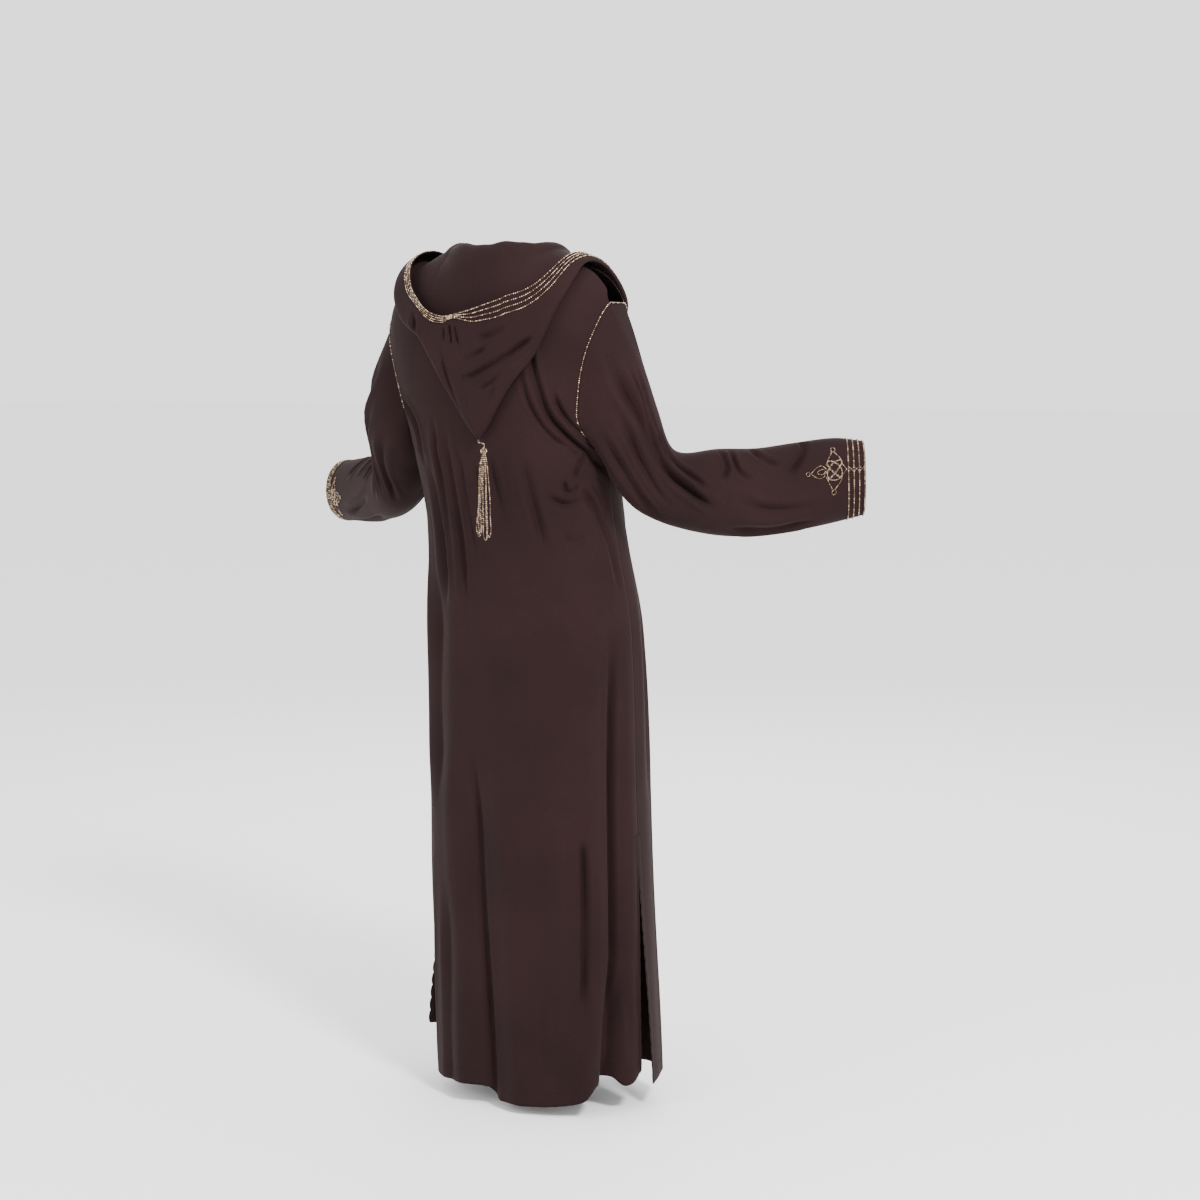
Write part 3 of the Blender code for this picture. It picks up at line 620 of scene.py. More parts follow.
# Creases of the sleeves, with the panels' columns. A way's points are (place, turn) in percent: place
# from the armhole to the cuff, turn from 0 at the top of the sleeve down the back to 50 underneath
SLEEVE_CREASES = {
    "right": (
        (7, 8.4, 20, 25, ((5, 14), (14, 18), (26, 18.5), (37, 19), (45, 23.5), (56, 33))),
        (4.9, 6.5, 25, 25, ((20, 16.5), (33, 15.5), (42, 19.5), (48, 25.5), (53, 34))),
        (3.5, 4.2, 25, 25, ((10, 11), (19, 13.5), (29, 15), (36, 16.5))),
        (3.5, 3.9, 25, 25, ((13, 8), (22, 10.5), (32, 12), (41, 14))),
        (4.2, 4.7, 30, 25, ((30, 8), (38, 10), (44, 14.5), (49, 20), (53, 26))),
        (5.6, 5.2, 30, 30, ((10, 24), (20, 26.5), (32, 28.5), (42, 34))),
        (7, 6.5, 30, 30, ((8, 33), (18, 35), (30, 37), (40, 42))),
        (3.5, 5.5, 20, 30, ((56.5, 5), (57.5, 10), (58, 15), (56, 21))),
        (3.5, 5.5, 20, 30, ((60, 4), (60.5, 10), (62, 16), (66, 20))),
        (4.2, 4.4, 25, 30, ((66, 2), (67.5, 7), (71, 12), (75, 15))),
        (4.2, 6, 20, 30, ((81, 1), (82, 9), (80, 15), (76, 21))),
        (8.4, 5.2, 30, 30, ((60, 27), (68, 31), (78, 33), (88, 33))),
        (8.4, 5.9, 30, 30, ((54, 40), (64, 42), (76, 42), (88, 40))),
        (5.6, 7.8, 20, 30, ((47, 96), (45, 90), (43, 83), (44, 76), (47, 70))),
        (4.9, 6.5, 20, 30, ((40, 97), (39, 90), (39, 82), (42, 73))),
        (5.6, 6.5, 25, 30, ((53, 98), (51, 90), (50, 82), (53, 72))),
        (6.3, 5.9, 30, 30, ((12, 88), (22, 84), (32, 80), (40, 70))),
        (6.3, 5.9, 30, 30, ((8, 72), (18, 68), (30, 64), (42, 58))),
        (7, 4.6, 30, 30, ((60, 90), (70, 84), (82, 80))),
        (8.4, 5.2, 30, 30, ((58, 62), (70, 64), (84, 66))),
    ),
    "left": (
        (7, 7.2, 25, 25, ((5, 15), (14, 19), (26, 21), (36, 25), (44, 33))),
        (4.2, 5.2, 25, 25, ((12, 11), (22, 13), (33, 15), (42, 20))),
        (4.9, 5.2, 25, 25, ((9, 25), (18, 28), (28, 31), (36, 37))),
        (5.6, 5.9, 30, 30, ((7, 34), (16, 37), (26, 40), (36, 45))),
        (4.2, 5.9, 20, 30, ((46, 3), (48, 10), (52, 17), (58, 22))),
        (4.2, 5.2, 20, 30, ((56, 2), (57, 9), (60, 15), (66, 20))),
        (4.9, 5.2, 25, 30, ((68, 1), (69, 8), (73, 14), (78, 17))),
        (7, 5.9, 30, 30, ((50, 30), (60, 33), (72, 36), (84, 38))),
        (7.7, 5.9, 30, 30, ((46, 43), (58, 45), (70, 46), (84, 45))),
        (5.6, 7.8, 20, 30, ((44, 96), (42, 89), (41, 82), (43, 74))),
        (4.9, 6.2, 20, 30, ((37, 97), (36, 90), (37, 81), (40, 72))),
        (5.6, 6.2, 25, 30, ((51, 97), (49, 90), (48, 82), (51, 73))),
        (6.3, 5.9, 30, 30, ((12, 89), (21, 85), (31, 80), (40, 70))),
        (6.3, 5.5, 30, 30, ((8, 73), (18, 69), (30, 64), (41, 58))),
        (7, 4.6, 30, 30, ((60, 90), (71, 85), (83, 81))),
        (8.4, 4.9, 30, 30, ((57, 63), (70, 65), (84, 66))),
    ),
}


def sleeve_points(arm, place, turn):
    """Points round a sleeve: place from 0 at the armhole to 1 at the cuff, turn in radians."""
    out_top, z_top, out_low, z_low, half_depth = through(SLEEVE[arm], place)
    way = ARM_WAY[arm]

    def at(out, z):
        return np.concatenate((np.moveaxis(through(way, out), 0, -1), z[..., None]), axis=-1)

    top = at(out_top, z_top)
    low = at(out_low, z_low)
    middle = (out_top + out_low) / 2
    ahead = at(middle + 0.01, middle) - at(middle - 0.01, middle)
    back = unit(np.stack((ahead[..., 1], -ahead[..., 0], 0 * ahead[..., 0]), axis=-1))
    back = back * np.sign(back[..., 1:2])
    turned = ease(place / 0.22)[..., None]
    back = unit(np.array((0.0, 1.0, 0.0)) * (1 - turned) + back * turned)
    centre = (top + low) / 2
    turn = turn[..., None]
    return centre + (top - centre) * np.cos(turn) + back * half_depth[..., None] * np.sin(turn)


def clear_of_body(points, clearance):
    """Points moved out from the body where they lie in it or too close to it."""
    half, back, front, cx, cy = through(BODY, points[..., 2])
    dx = points[..., 0] - cx
    dy = points[..., 1] - cy
    depth = np.where(dy > 0, back - cy, cy - front)
    size = (np.abs(dx / half) ** ROUNDNESS + np.abs(dy / depth) ** ROUNDNESS) ** (1 / ROUNDNESS)
    wanted = 1 + clearance / np.hypot(dx, dy) * size
    push = np.where((size < wanted) & (points[..., 2] < -0.16), wanted / size, 1.0)
    return np.stack((cx + dx * push, cy + dy * push, points[..., 2]), axis=-1)


def armhole_line(arm, turn):
    """Edge of the armhole at each turn, as on the panels."""
    hand = 1.0 if arm == "left" else -1.0
    up = 1.5 + 0.5 * np.cos(turn)
    back = panel_points("back", np.full_like(turn, hand), up)
    front = panel_points("front", np.full_like(turn, hand), up)
    return np.where((turn <= math.pi)[..., None], back, front)


def sleeve_grid(arm):
    """Points of a sleeve with its creases, rows from the armhole to the cuff, and the way off it."""
    turn = (np.arange(SLEEVE_TURNS) / SLEEVE_TURNS * 2 * math.pi)[None, :]
    place = np.linspace(0, 1, SLEEVE_ROWS)[:, None] ** 1.12
    grid = sleeve_points(arm, place, turn)
    seam = armhole_line(arm, turn) - sleeve_points(arm, np.zeros((1, 1)), turn)
    grid = grid + seam * (1 - ease(place / 0.16))[..., None]
    clearance = SLEEVE_CLEARANCE * (0.6 + 0.4 * ease(place / 0.12)) * ease(place / 0.02)
    grid = clear_of_body(grid, clearance)
    normals = grid_normals(grid, True)
    around = turn / (2 * math.pi) * SLEEVE_ROUND
    along = place * SLEEVE_LENGTH
    depth = soft_waves(around, along, 0.0012, 7 if arm == "right" else 8)
    for shift in (-SLEEVE_ROUND, 0.0, SLEEVE_ROUND):
        creases = laid(SLEEVE_CREASES[arm], lambda place_in, turn_in, shift=shift: (
            turn_in * PERCENT * SLEEVE_ROUND + shift, place_in * PERCENT * SLEEVE_LENGTH))
        depth = depth + crease_depth(creases, around, along)
    free = ease(place / 0.06) * ease((1 - place) * SLEEVE_LENGTH / CUFF_BAND)
    grid = grid + normals * (depth * free)[..., None]
    return grid, grid_normals(grid, True)


sleeves = {}
for arm in ("right", "left"):
    sleeves[arm] = sleeve_grid(arm)
    cloth_piece(f"sleeve_{arm}_cloth", "sleeve_" + arm, sleeves[arm][0], closed=True)


# ---------------------------------------------------------------- hood
# Two mirrored halves of crepe joined on the centre seam and sewn round the neck. Thrown back, it
# lies as a flattened pointed bag: an inner layer down from the neck, and the outer layer over it,
# whose upper edge is the hood's face edge.

HOOD_COLUMNS = 150
HOOD_INNER_ROWS = 34
HOOD_OUTER_ROWS = 74
NECK_LIFT = 0.0022         # hood cloth over the neck seam
NECK_ROLL = 0.010          # height of the roll that the hood makes just outside the neck seam

# Hood sections from the centre seam (0) round to the point of the V (1). Each runs from the neck
# seam down the inner layer to the fold, and up the outer layer to the face edge. Columns: place,
# neck x and way, fold x and way, face x and way, inner lift, fold lift, outer lift, face lift.
# A way is the distance over the cloth from the shoulder line, down the back, or down the front if
# below 0. A lift is the distance out from the body.
HOOD = {
    "right": (
        (0.00, 0.000, 0.000, 0.028, 0.374, 0.000, 0.176, 0.006, 0.013, 0.026, 0.030),
        (0.14, 0.018, 0.000, 0.050, 0.346, 0.036, 0.168, 0.007, 0.013, 0.028, 0.030),
        (0.28, 0.035, 0.000, 0.090, 0.278, 0.072, 0.156, 0.008, 0.014, 0.026, 0.026),
        (0.42, 0.052, 0.010, 0.124, 0.218, 0.104, 0.132, 0.008, 0.014, 0.023, 0.022),
        (0.54, 0.066, 0.018, 0.150, 0.145, 0.124, 0.098, 0.007, 0.013, 0.020, 0.018),
        (0.64, 0.074, -0.010, 0.164, 0.078, 0.134, 0.052, 0.007, 0.012, 0.017, 0.015),
        (0.72, 0.075, -0.045, 0.162, -0.010, 0.134, -0.012, 0.007, 0.011, 0.015, 0.014),
        (0.80, 0.068, -0.095, 0.168, -0.124, 0.138, -0.132, 0.008, 0.020, 0.028, 0.029),
        (0.90, 0.042, -0.150, 0.136, -0.172, 0.104, -0.180, 0.007, 0.016, 0.022, 0.020),
        (1.00, 0.012, -0.205, 0.072, -0.226, 0.037, -0.234, 0.006, 0.011, 0.015, 0.014),
    ),
    "left": (
        (0.00, 0.000, 0.000, -0.028, 0.374, 0.000, 0.176, 0.006, 0.013, 0.026, 0.030),
        (0.14, 0.018, 0.000, -0.006, 0.346, 0.030, 0.180, 0.006, 0.013, 0.028, 0.030),
        (0.28, 0.035, 0.000, 0.036, 0.282, 0.060, 0.172, 0.006, 0.013, 0.028, 0.028),
        (0.42, 0.052, 0.010, 0.080, 0.216, 0.088, 0.146, 0.006, 0.014, 0.028, 0.028),
        (0.54, 0.066, 0.018, 0.132, 0.158, 0.108, 0.116, 0.008, 0.016, 0.028, 0.028),
        (0.64, 0.074, -0.010, 0.156, 0.100, 0.128, 0.066, 0.010, 0.021, 0.030, 0.029),
        (0.72, 0.075, -0.045, 0.162, 0.004, 0.134, 0.000, 0.008, 0.017, 0.025, 0.023),
        (0.80, 0.068, -0.095, 0.163, -0.084, 0.130, -0.094, 0.009, 0.016, 0.024, 0.022),
        (0.90, 0.042, -0.150, 0.130, -0.158, 0.096, -0.166, 0.007, 0.014, 0.021, 0.019),
        (1.00, 0.012, -0.205, 0.072, -0.226, 0.037, -0.234, 0.006, 0.011, 0.015, 0.014),
    ),
}

# Creases of the hood's outer layer, with the panels' columns. A way's points are (x, height) in mm
HOOD_CREASES = (
    (4.5, 6.2, 20, 15, ((-4, -214), (-30, -205), (-56, -192), (-95, -170), (-134, -140))),
    (3.5, 4.2, 25, 30, ((-12, -180), (-34, -173), (-60, -158))),
    (3.2, 3.6, 25, 30, ((-40, -228), (-62, -216), (-84, -196))),
    (3, 4.2, 10, 30, ((16, -124), (13, -138), (10, -156))),
    (3, 3.6, 10, 30, ((4, -126), (1, -142), (-6, -158))),
    (3, 3.2, 15, 30, ((28, -128), (27, -140), (28, -152))),
    (5, 6.5, 20, 20, ((94, -100), (93, -135), (88, -172), (72, -214))),
    (4.5, 5, 20, 20, ((70, -172), (52, -204), (30, -244), (6, -284))),
    (6, 4, 30, 30, ((40, -150), (30, -185), (12, -230), (-10, -276))),
    (4.5, 3.6, 30, 30, ((-74, -214), (-60, -238), (-42, -270))),
    (4.5, 4, 25, 30, ((-90, -126), (-64, -141), (-34, -149))),
)


def on_body(x, way):
    """Points of the body at x, a way over the cloth from the shoulder line, and the way out."""
    reach = 0.006
    side = np.where(way >= 0, 1.0, -1.0)

    def place(px, distance):
        turn = np.abs(distance) / SHOULDER_ROLL
        drop = SHOULDER_ROLL * np.where(turn < math.pi / 2, 1 - np.cos(turn), 1 + turn - math.pi / 2)
        z = shoulder_height(px) - drop
        return np.where((distance >= 0)[..., None], body_points(px, z, 1), body_points(px, z, -1))

    here = place(x, way)
    onward = (place(x, way + side * reach) - here) * side[..., None]
    both_ways = place(x, way + reach) - place(x, way - reach)
    along = np.where((np.abs(x) < NECK_HALF)[..., None], onward, both_ways)
    out = unit(np.cross(along, place(x + reach, way) - place(x - reach, way)))
    return here, out * np.where(out[..., 1:2] * side[..., None] + out[..., 2:] * 0.6 > 0, 1.0, -1.0)


def hood_points(half, place, run):
    """Points of a hood half: place from 0 to 1 round the neck, run from 0 at the neck seam to 1
    at the fold and 2 at the face edge."""
    place, run = np.broadcast_arrays(place, run)
    hand = -1 if half == "right" else 1
    (neck_x, neck_way, fold_x, fold_way, face_x, face_way,
     inner, fold, outer, face) = through(HOOD[half], place)
    down = np.minimum(run, 1.0)
    up = np.maximum(run - 1, 0.0)
    turn = ease((down - 0.75) / 0.25)
    down_lift = NECK_LIFT + (inner - NECK_LIFT) * ease(down / 0.12) + (fold - inner) * turn * turn
    down_lift = down_lift + NECK_ROLL * np.sin(math.pi * np.minimum(down / 0.3, 1.0)) * 0.5
    rise = np.sqrt(1 - (1 - np.minimum(up / 0.3, 1.0)) ** 2)
    up_lift = fold + (outer - fold) * rise + (face - outer) * ease((up - 0.3) / 0.7)
    x = neck_x + (fold_x - neck_x) * down + (face_x - fold_x) * up
    way = neck_way + (fold_way - neck_way) * down + (face_way - fold_way) * up
    here, out = on_body(hand * x, way)
    return here + out * np.where(run <= 1, down_lift, up_lift)[..., None]


def hood_grid(half):
    """Points of a hood half with its creases, rows from the neck seam to the face edge, and the
    way off the cloth: towards the wearer's back on the outer layer."""
    place = np.linspace(0, 1, HOOD_COLUMNS)[None, :]
    down = np.linspace(0, 1, HOOD_INNER_ROWS) ** 1.2
    up = 1 + np.linspace(0, 1, HOOD_OUTER_ROWS)[1:] ** 1.5
    run = np.concatenate((down, up))[:, None]
    grid = hood_points(half, place, run)
    normals = grid_normals(grid, False)
    if normals[-1, 0, 1] < 0:
        normals = -normals
    creases = laid(HOOD_CREASES, lambda x, height: (x * MM, height * MM))
    depth = crease_depth(creases, grid[..., 0], grid[..., 2]) * ease((run - 1.06) / 0.2)
    depth = depth + soft_waves(place * 0.5, run * 0.2, 0.0010, 9 if half == "right" else 10)
    free = ease((1 - place) / 0.1) * ease(place / 0.03 + 0.45) * ease(run / 0.1)
    grid = grid + normals * (depth * free)[..., None]
    normals = grid_normals(grid, False)
    return grid, normals if normals[-1, 0, 1] > 0 else -normals


hoods = {}
for half in ("right", "left"):
    hoods[half] = hood_grid(half)
    cloth_piece(f"hood_{half}_cloth", "hood_" + half, hoods[half][0])


# ---------------------------------------------------------------- gold braid
# Twisted metallic cord, couched down in single rows: four along the hood's face edge and four
# round each cuff, and one over each armhole seam. Each twist shows as a slanted bright grain over
# a core whose dark colour is painted shade, standing for the shade between the twists.

CORD_RADIUS = 0.0012
CORD_TWIST = 0.0034        # length of one twist
BAND_STEP = 0.009          # spacing of the four rows of a band
FACE_INSET = 0.0016        # from the hood's face edge to its first row
CUFF_INSET = 0.0018        # from a cuff's edge to its first row
CUFF_CLOSE = 0.96          # spacing of a cuff's rows, to the hood's
ROWS_IN_BAND = 4
CORD_LIFT = CLOTH_WALL / 2 + CORD_RADIUS * 0.75

# How far the armhole's braid runs down the back of it and down its front, in half turns from the
# shoulder
BRAID_END = {"right": 0.80, "left": 0.64}
BRAID_START = -0.80

# How close the rows of the hood's band draw together, from the centre seam round to the V
HOOD_BAND_CLOSE = {
    "right": ((0.0, 0.22), (0.05, 0.48), (0.12, 0.75), (0.3, 1.0), (0.55, 0.95), (0.66, 0.75), (1.0, 0.9)),
    "left": ((0.0, 0.22), (0.07, 0.18), (0.14, 0.36), (0.28, 0.48), (0.5, 0.46), (1.0, 0.6)),
}


def gold_finish():
    """Champagne metallic thread: each grain a random tone from dark olive to champagne, and the core painted
    near black as painted shade between the grains.
    """
    made, tree, shader = finish("gold_cord_thread", 0.33, 0.6)
    grain_tone_and_core_shade = tree.nodes.new("ShaderNodeAttribute")
    grain_tone_and_core_shade.attribute_name = "grain_tone_and_core_shade"
    # Stop 0 is near black and only the core reads it: painted shade between the grains. The grains' random
    # values give their own tones.
    tone = ramp(tree, grain_tone_and_core_shade.outputs["Fac"], (0.0, (0.020, 0.011, 0.006)), (0.45, (0.26, 0.165, 0.090)),
                (1.0, (0.92, 0.71, 0.54)))
    tree.links.new(tone, shader.inputs["Base Color"])
    tree.links.new(bump(tree, speckle(tree, 1500.0, 1.0), 0.35, 0.0003), shader.inputs["Normal"])
    shader.inputs["Metallic"].default_value = 0.70
    return made


def twist_tree():
    """Geometry Nodes: slanted grains along each line, over a core, as twisted cord."""
    tree = bpy.data.node_groups.new("twisted_cord", "GeometryNodeTree")
    for name, kind in (("Geometry", "Geometry"), ("Twist", "Float"), ("Grain", "Vector"), ("Slant", "Float"),
                       ("Core Radius", "Float"), ("Finish", "Material")):
        tree.interface.new_socket(name=name, in_out="INPUT", socket_type="NodeSocket" + kind)
    tree.interface.new_socket(name="Geometry", in_out="OUTPUT", socket_type="NodeSocketGeometry")

    def node(kind, links=(), **settings):
        made = tree.nodes.new(kind)
        for setting, value in settings.items():
            setattr(made, setting, value)
        for socket, value in dict(links).items():
            if hasattr(value, "is_output"):
                tree.links.new(value, made.inputs[socket])
            else:
                made.inputs[socket].default_value = value
        return made.outputs

    given = node("NodeGroupInput")
    curve = node("GeometryNodeMeshToCurve", {"Mesh": given["Geometry"]})
    even = node("GeometryNodeResampleCurve",
                {"Curve": curve["Curve"], "Length": given["Twist"]}, mode="LENGTH")
    off = node("GeometryNodeInputNamedAttribute", {"Name": "off"}, data_type="FLOAT_VECTOR")
    tangent = node("GeometryNodeInputTangent")
    turned = node("FunctionNodeAxesToRotation",
                  {"Primary Axis": off["Attribute"], "Secondary Axis": tangent["Tangent"]},
                  primary_axis="Z", secondary_axis="X")
    slant = node("FunctionNodeAxisAngleToRotation", {"Axis": (0.0, 0.0, 1.0), "Angle": given["Slant"]})
    slanted = node("FunctionNodeRotateRotation",
                   {"Rotation": turned["Rotation"], "Rotate By": slant["Rotation"]}, rotation_space="LOCAL")
    ball = node("GeometryNodeMeshUVSphere", {"Segments": 6, "Rings": 5, "Radius": 0.5})
    smooth = node("GeometryNodeSetShadeSmooth", {"Geometry": ball["Mesh"]})
    grains = node("GeometryNodeInstanceOnPoints",
                  {"Points": even["Curve"], "Instance": smooth["Geometry"],
                   "Rotation": slanted["Rotation"], "Scale": given["Grain"]})
    uneven = node("FunctionNodeRandomValue", {"Min": 0.15, "Max": 1.0, "Seed": 3}, data_type="FLOAT")
    shaded = node("GeometryNodeStoreNamedAttribute",
                  {"Geometry": grains["Instances"], "Name": "grain_tone_and_core_shade", "Value": uneven["Value"]},
                  domain="INSTANCE")
    ring = node("GeometryNodeCurvePrimitiveCircle", {"Resolution": 6, "Radius": given["Core Radius"]})
    core = node("GeometryNodeCurveToMesh", {"Curve": even["Curve"], "Profile Curve": ring["Curve"]})
    # The core gets value 0, which the gold finish paints near black: painted shade in the gaps between the
    # grains.
    dark = node("GeometryNodeStoreNamedAttribute", {"Geometry": core["Mesh"], "Name": "grain_tone_and_core_shade", "Value": 0.0})
    joined = tree.nodes.new("GeometryNodeJoinGeometry")
    tree.links.new(shaded["Geometry"], joined.inputs["Geometry"])
    tree.links.new(dark["Geometry"], joined.inputs["Geometry"])
    real = node("GeometryNodeRealizeInstances", {"Geometry": joined.outputs["Geometry"]})
    done = node("GeometryNodeSetMaterial", {"Geometry": real["Geometry"], "Material": given["Finish"]})
    node("NodeGroupOutput", {"Geometry": done["Geometry"]})
    return tree


gold = gold_finish()
twisted_cord = twist_tree()


def cord_piece(name, lines, node_names, twist=CORD_TWIST, radius=CORD_RADIUS, made=gold,
               slant=0.45, length=0.74):
    """Twisted cord along lines, each its points, the way off the cloth at each, and if it closes."""
    points = []
    offs = []
    edges = []
    for line, off, closed in lines:
        first = len(points)
        points.extend(line.tolist())
        offs.extend(off.tolist())
        edges.extend((first + i, first + i + 1) for i in range(len(line) - 1))
        if closed:
            edges.append((len(points) - 1, first))
    path = bpy.data.meshes.new(name + "_path")
    path.from_pydata(points, edges, [])
    path.attributes.new("off", "FLOAT_VECTOR", "POINT").data.foreach_set("vector", np.array(offs).reshape(-1))
    maker = bpy.data.objects.new(name + "_path", path)
    bpy.context.scene.collection.objects.link(maker)
    twister = maker.modifiers.new("twist", "NODES")
    twister.node_group = twisted_cord
    sizes = {"Twist": twist, "Grain": (twist * length, radius * 1.6, radius * 1.9), "Slant": slant,
             "Core Radius": radius * 0.60, "Finish": made}
    for item in twisted_cord.interface.items_tree:
        if item.in_out == "INPUT" and item.name in sizes:
            twister[item.identifier] = sizes[item.name]
    maker.update_tag()
    graph = bpy.context.evaluated_depsgraph_get()
    mesh = bpy.data.meshes.new_from_object(maker.evaluated_get(graph))
    mesh.name = name
    bpy.data.objects.remove(maker, do_unlink=True)
    piece = bpy.data.objects.new(name, mesh)
    bpy.context.scene.collection.objects.link(piece)
    stand_for(piece, node_names)
    return piece


def line_inside(grid, normals, distance, lift):
    """Line that keeps a distance inside a grid's last row, lifted off the cloth, and the way off."""
    grid = grid[::-1]
    normals = normals[::-1]
    reached = distance_along(grid)
    wanted = enumerate(np.broadcast_to(distance, grid.shape[1]))
    both = [[at_distance(d, reached[:, i], part[:, i]) for part in (grid, normals)] for i, d in wanted]
    off = unit(np.array([off for _, off in both]))
    return np.array([point for point, _ in both]) + off * lift, off


hood_rows = []
for row in range(ROWS_IN_BAND):
    both = []
    for half in ("right", "left"):
        grid, normals = hoods[half]
        place = np.linspace(0, 1, HOOD_COLUMNS)
        close = through(HOOD_BAND_CLOSE[half], place)[0]
        distance = FACE_INSET + row * BAND_STEP * close
        line, off = line_inside(grid, normals, distance, CORD_LIFT)
        both.append((line[:-2], off[:-2]))
    line = np.concatenate((both[0][0][::-1], both[1][0][1:]))
    off = np.concatenate((both[0][1][::-1], both[1][1][1:]))
    hood_rows.append((line, off, False))
hood_braid = cord_piece("hood_face_braid", hood_rows, [f"hood_braid_{k + 1}" for k in range(ROWS_IN_BAND)])

for arm, (grid, normals) in sleeves.items():
    rows = []
    for row in range(ROWS_IN_BAND):
        line, off = line_inside(grid, normals, CUFF_INSET + row * BAND_STEP * CUFF_CLOSE, CORD_LIFT)
        rows.append((line, off, True))
    names = [f"cuff_braid_{arm}_{k + 1}" for k in range(ROWS_IN_BAND)]
    cord_piece(f"cuff_braid_{arm}_rows", rows, names)

for arm, (grid, normals) in sleeves.items():
    around = np.linspace(BRAID_START, BRAID_END[arm], 102) * math.pi
    edge = armhole_line(arm, np.mod(around, 2 * math.pi))
    index = np.mod(np.round(around / (2 * math.pi) * SLEEVE_TURNS).astype(int), SLEEVE_TURNS)
    hand = 1.0 if arm == "left" else -1.0
    up = 1.5 + 0.5 * np.cos(around)
    inside = [panel_points(p, np.full_like(around, hand * 0.985), up) for p in ("back", "front")]
    inside = np.where((around >= 0)[:, None], inside[0], inside[1])
    sleeve_way = normals[2, index]
    across = unit(grid[4, index] - inside)
    off = unit(np.cross(across, np.gradient(edge, axis=0)))
    off = off * np.sign((off * sleeve_way).sum(axis=1, keepdims=True))
    off = unit(off + 0.5 * sleeve_way)
    name = "armhole_braid_" + arm
    line = edge + off * (CORD_LIFT + 0.0006)
    cord_piece(name + "_row", [(line, off, False)], [name])


# ---------------------------------------------------------------- cuff motifs
# One motif on the back of each cuff, drawn on the cloth with a finer couched cord: a lattice knot
# with a ringed arm on either side, and a leaf that points up the sleeve to a last small ring.

MOTIF_CORD = 0.0008
MOTIF_WEAVE = 0.0004                           # how far the knot's cord rises over and dips under itself
MOTIF_TURN = {"right": 0.205, "left": 0.285}   # where it sits round the sleeve, as a share of a turn
MOTIF_START = 0.031                            # from the cuff's edge to the foot of the motif
KNOT_CENTRE = 0.0185
KNOT_HALF = (0.0120, 0.0140)                   # along the sleeve, around it
ARM_APEX = (0.0205, 0.0265)
LEAF_FOOT = 0.0310
LEAF_TIP = 0.0570
RING_RADIUS = 0.0034


def circle(along, around, radius):
    t = np.linspace(0, 2 * math.pi, 25)[:-1]
    return along + radius * np.cos(t), around + radius * np.sin(t), True


def motif_lines():
    """Lines of the motif: distance up the sleeve from its foot, distance round it, and if closed."""
    t = np.linspace(0, 2 * math.pi, 301)[:-1]
    yield KNOT_CENTRE + KNOT_HALF[0] * np.sin(5 * t + 0.30), KNOT_HALF[1] * np.sin(4 * t), True
    for side in (1, -1):
        for edge_of_arm in (
            ((0.0070, 0.0100), (0.0100, 0.0175), (ARM_APEX[0] - 0.002, ARM_APEX[1])),
            ((0.0320, 0.0090), (0.0285, 0.0165), (ARM_APEX[0] + 0.002, ARM_APEX[1])),
        ):
            arm = smooth_line([(along, around * side) for along, around in edge_of_arm])
            yield arm[:, 0], arm[:, 1], False
        yield circle(ARM_APEX[0], (ARM_APEX[1] + 0.0044) * side, RING_RADIUS)
        foot = smooth_line(((0.0, 0.0), (0.0035, 0.0050 * side), (0.0080, 0.0095 * side)))
        yield foot[:, 0], foot[:, 1], False
    width = 0.0088
    s = np.linspace(0, 1, 30)
    leaf = np.concatenate((s, s[::-1]))
    half = width * np.sin(math.pi * leaf ** 0.75) * np.where(np.arange(60) < 30, 1.0, -1.0)
    yield LEAF_FOOT + (LEAF_TIP - LEAF_FOOT) * leaf, half, True
    vein = np.linspace(0, 2 * math.pi, 40)[:-1]
    yield LEAF_FOOT + 0.0095 - 0.0065 * np.cos(vein), 0.0034 * np.sin(vein) * (1 + 0.4 * np.cos(vein)), True
    yield circle(LEAF_TIP + 0.0044, 0.0, RING_RADIUS * 0.85)


def on_cuff(arm, inward, around):
    """Points on a cuff, and the way off it: distance in from its edge, and round from its motif."""
    grid, normals = (np.concatenate((part, part[:, :1]), axis=1)[::-1] for part in sleeves[arm])
    arcs = distance_along(grid[0])
    columns = np.arange(SLEEVE_TURNS + 1)
    middle = np.interp(MOTIF_TURN[arm] * SLEEVE_TURNS, columns, arcs)
    column = np.interp(middle + around, arcs, columns)
    left = np.floor(column).astype(int)
    f = column - left
    reached = distance_along(grid)
    row = np.array([np.interp(d, reached[:, c], np.arange(len(grid))) for d, c in zip(inward, left)])
    low = np.floor(row).astype(int)
    g = (row - low)[:, None]
    f = f[:, None]

    def mixed(part):
        near = part[low, left] * (1 - f) + part[low, left + 1] * f
        far = part[low + 1, left] * (1 - f) + part[low + 1, left + 1] * f
        return near * (1 - g) + far * g

    return mixed(grid), unit(mixed(normals))


for arm in ("right", "left"):
    lines = []
    for along, around, closed in motif_lines():
        points, off = on_cuff(arm, MOTIF_START + along, -around)
        woven = MOTIF_WEAVE if len(points) > 100 else 0.0
        weave = woven * np.sin(np.linspace(0, 24 * math.pi, len(points)))[:, None]
        lines.append((points + off * (CLOTH_WALL / 2 + MOTIF_CORD * 0.8 + weave), off, closed))
    for row in range(ROWS_IN_BAND - 1):
        inward = CUFF_INSET + (row + np.linspace(0.22, 0.78, 5)) * BAND_STEP * CUFF_CLOSE
        for slope in (1, -1):
            points, off = on_cuff(arm, inward, slope * np.linspace(-0.0022, 0.0022, 5))
            lines.append((points + off * (CLOTH_WALL / 2 + MOTIF_CORD), off, False))
    cord_piece(f"cuff_motif_{arm}", lines, [], twist=0.0023, radius=MOTIF_CORD)


# ---------------------------------------------------------------- tassel
# It hangs by a doubled thread from the hood's point: a knob of wound cord, and long loops of the
# same gold cord under it.

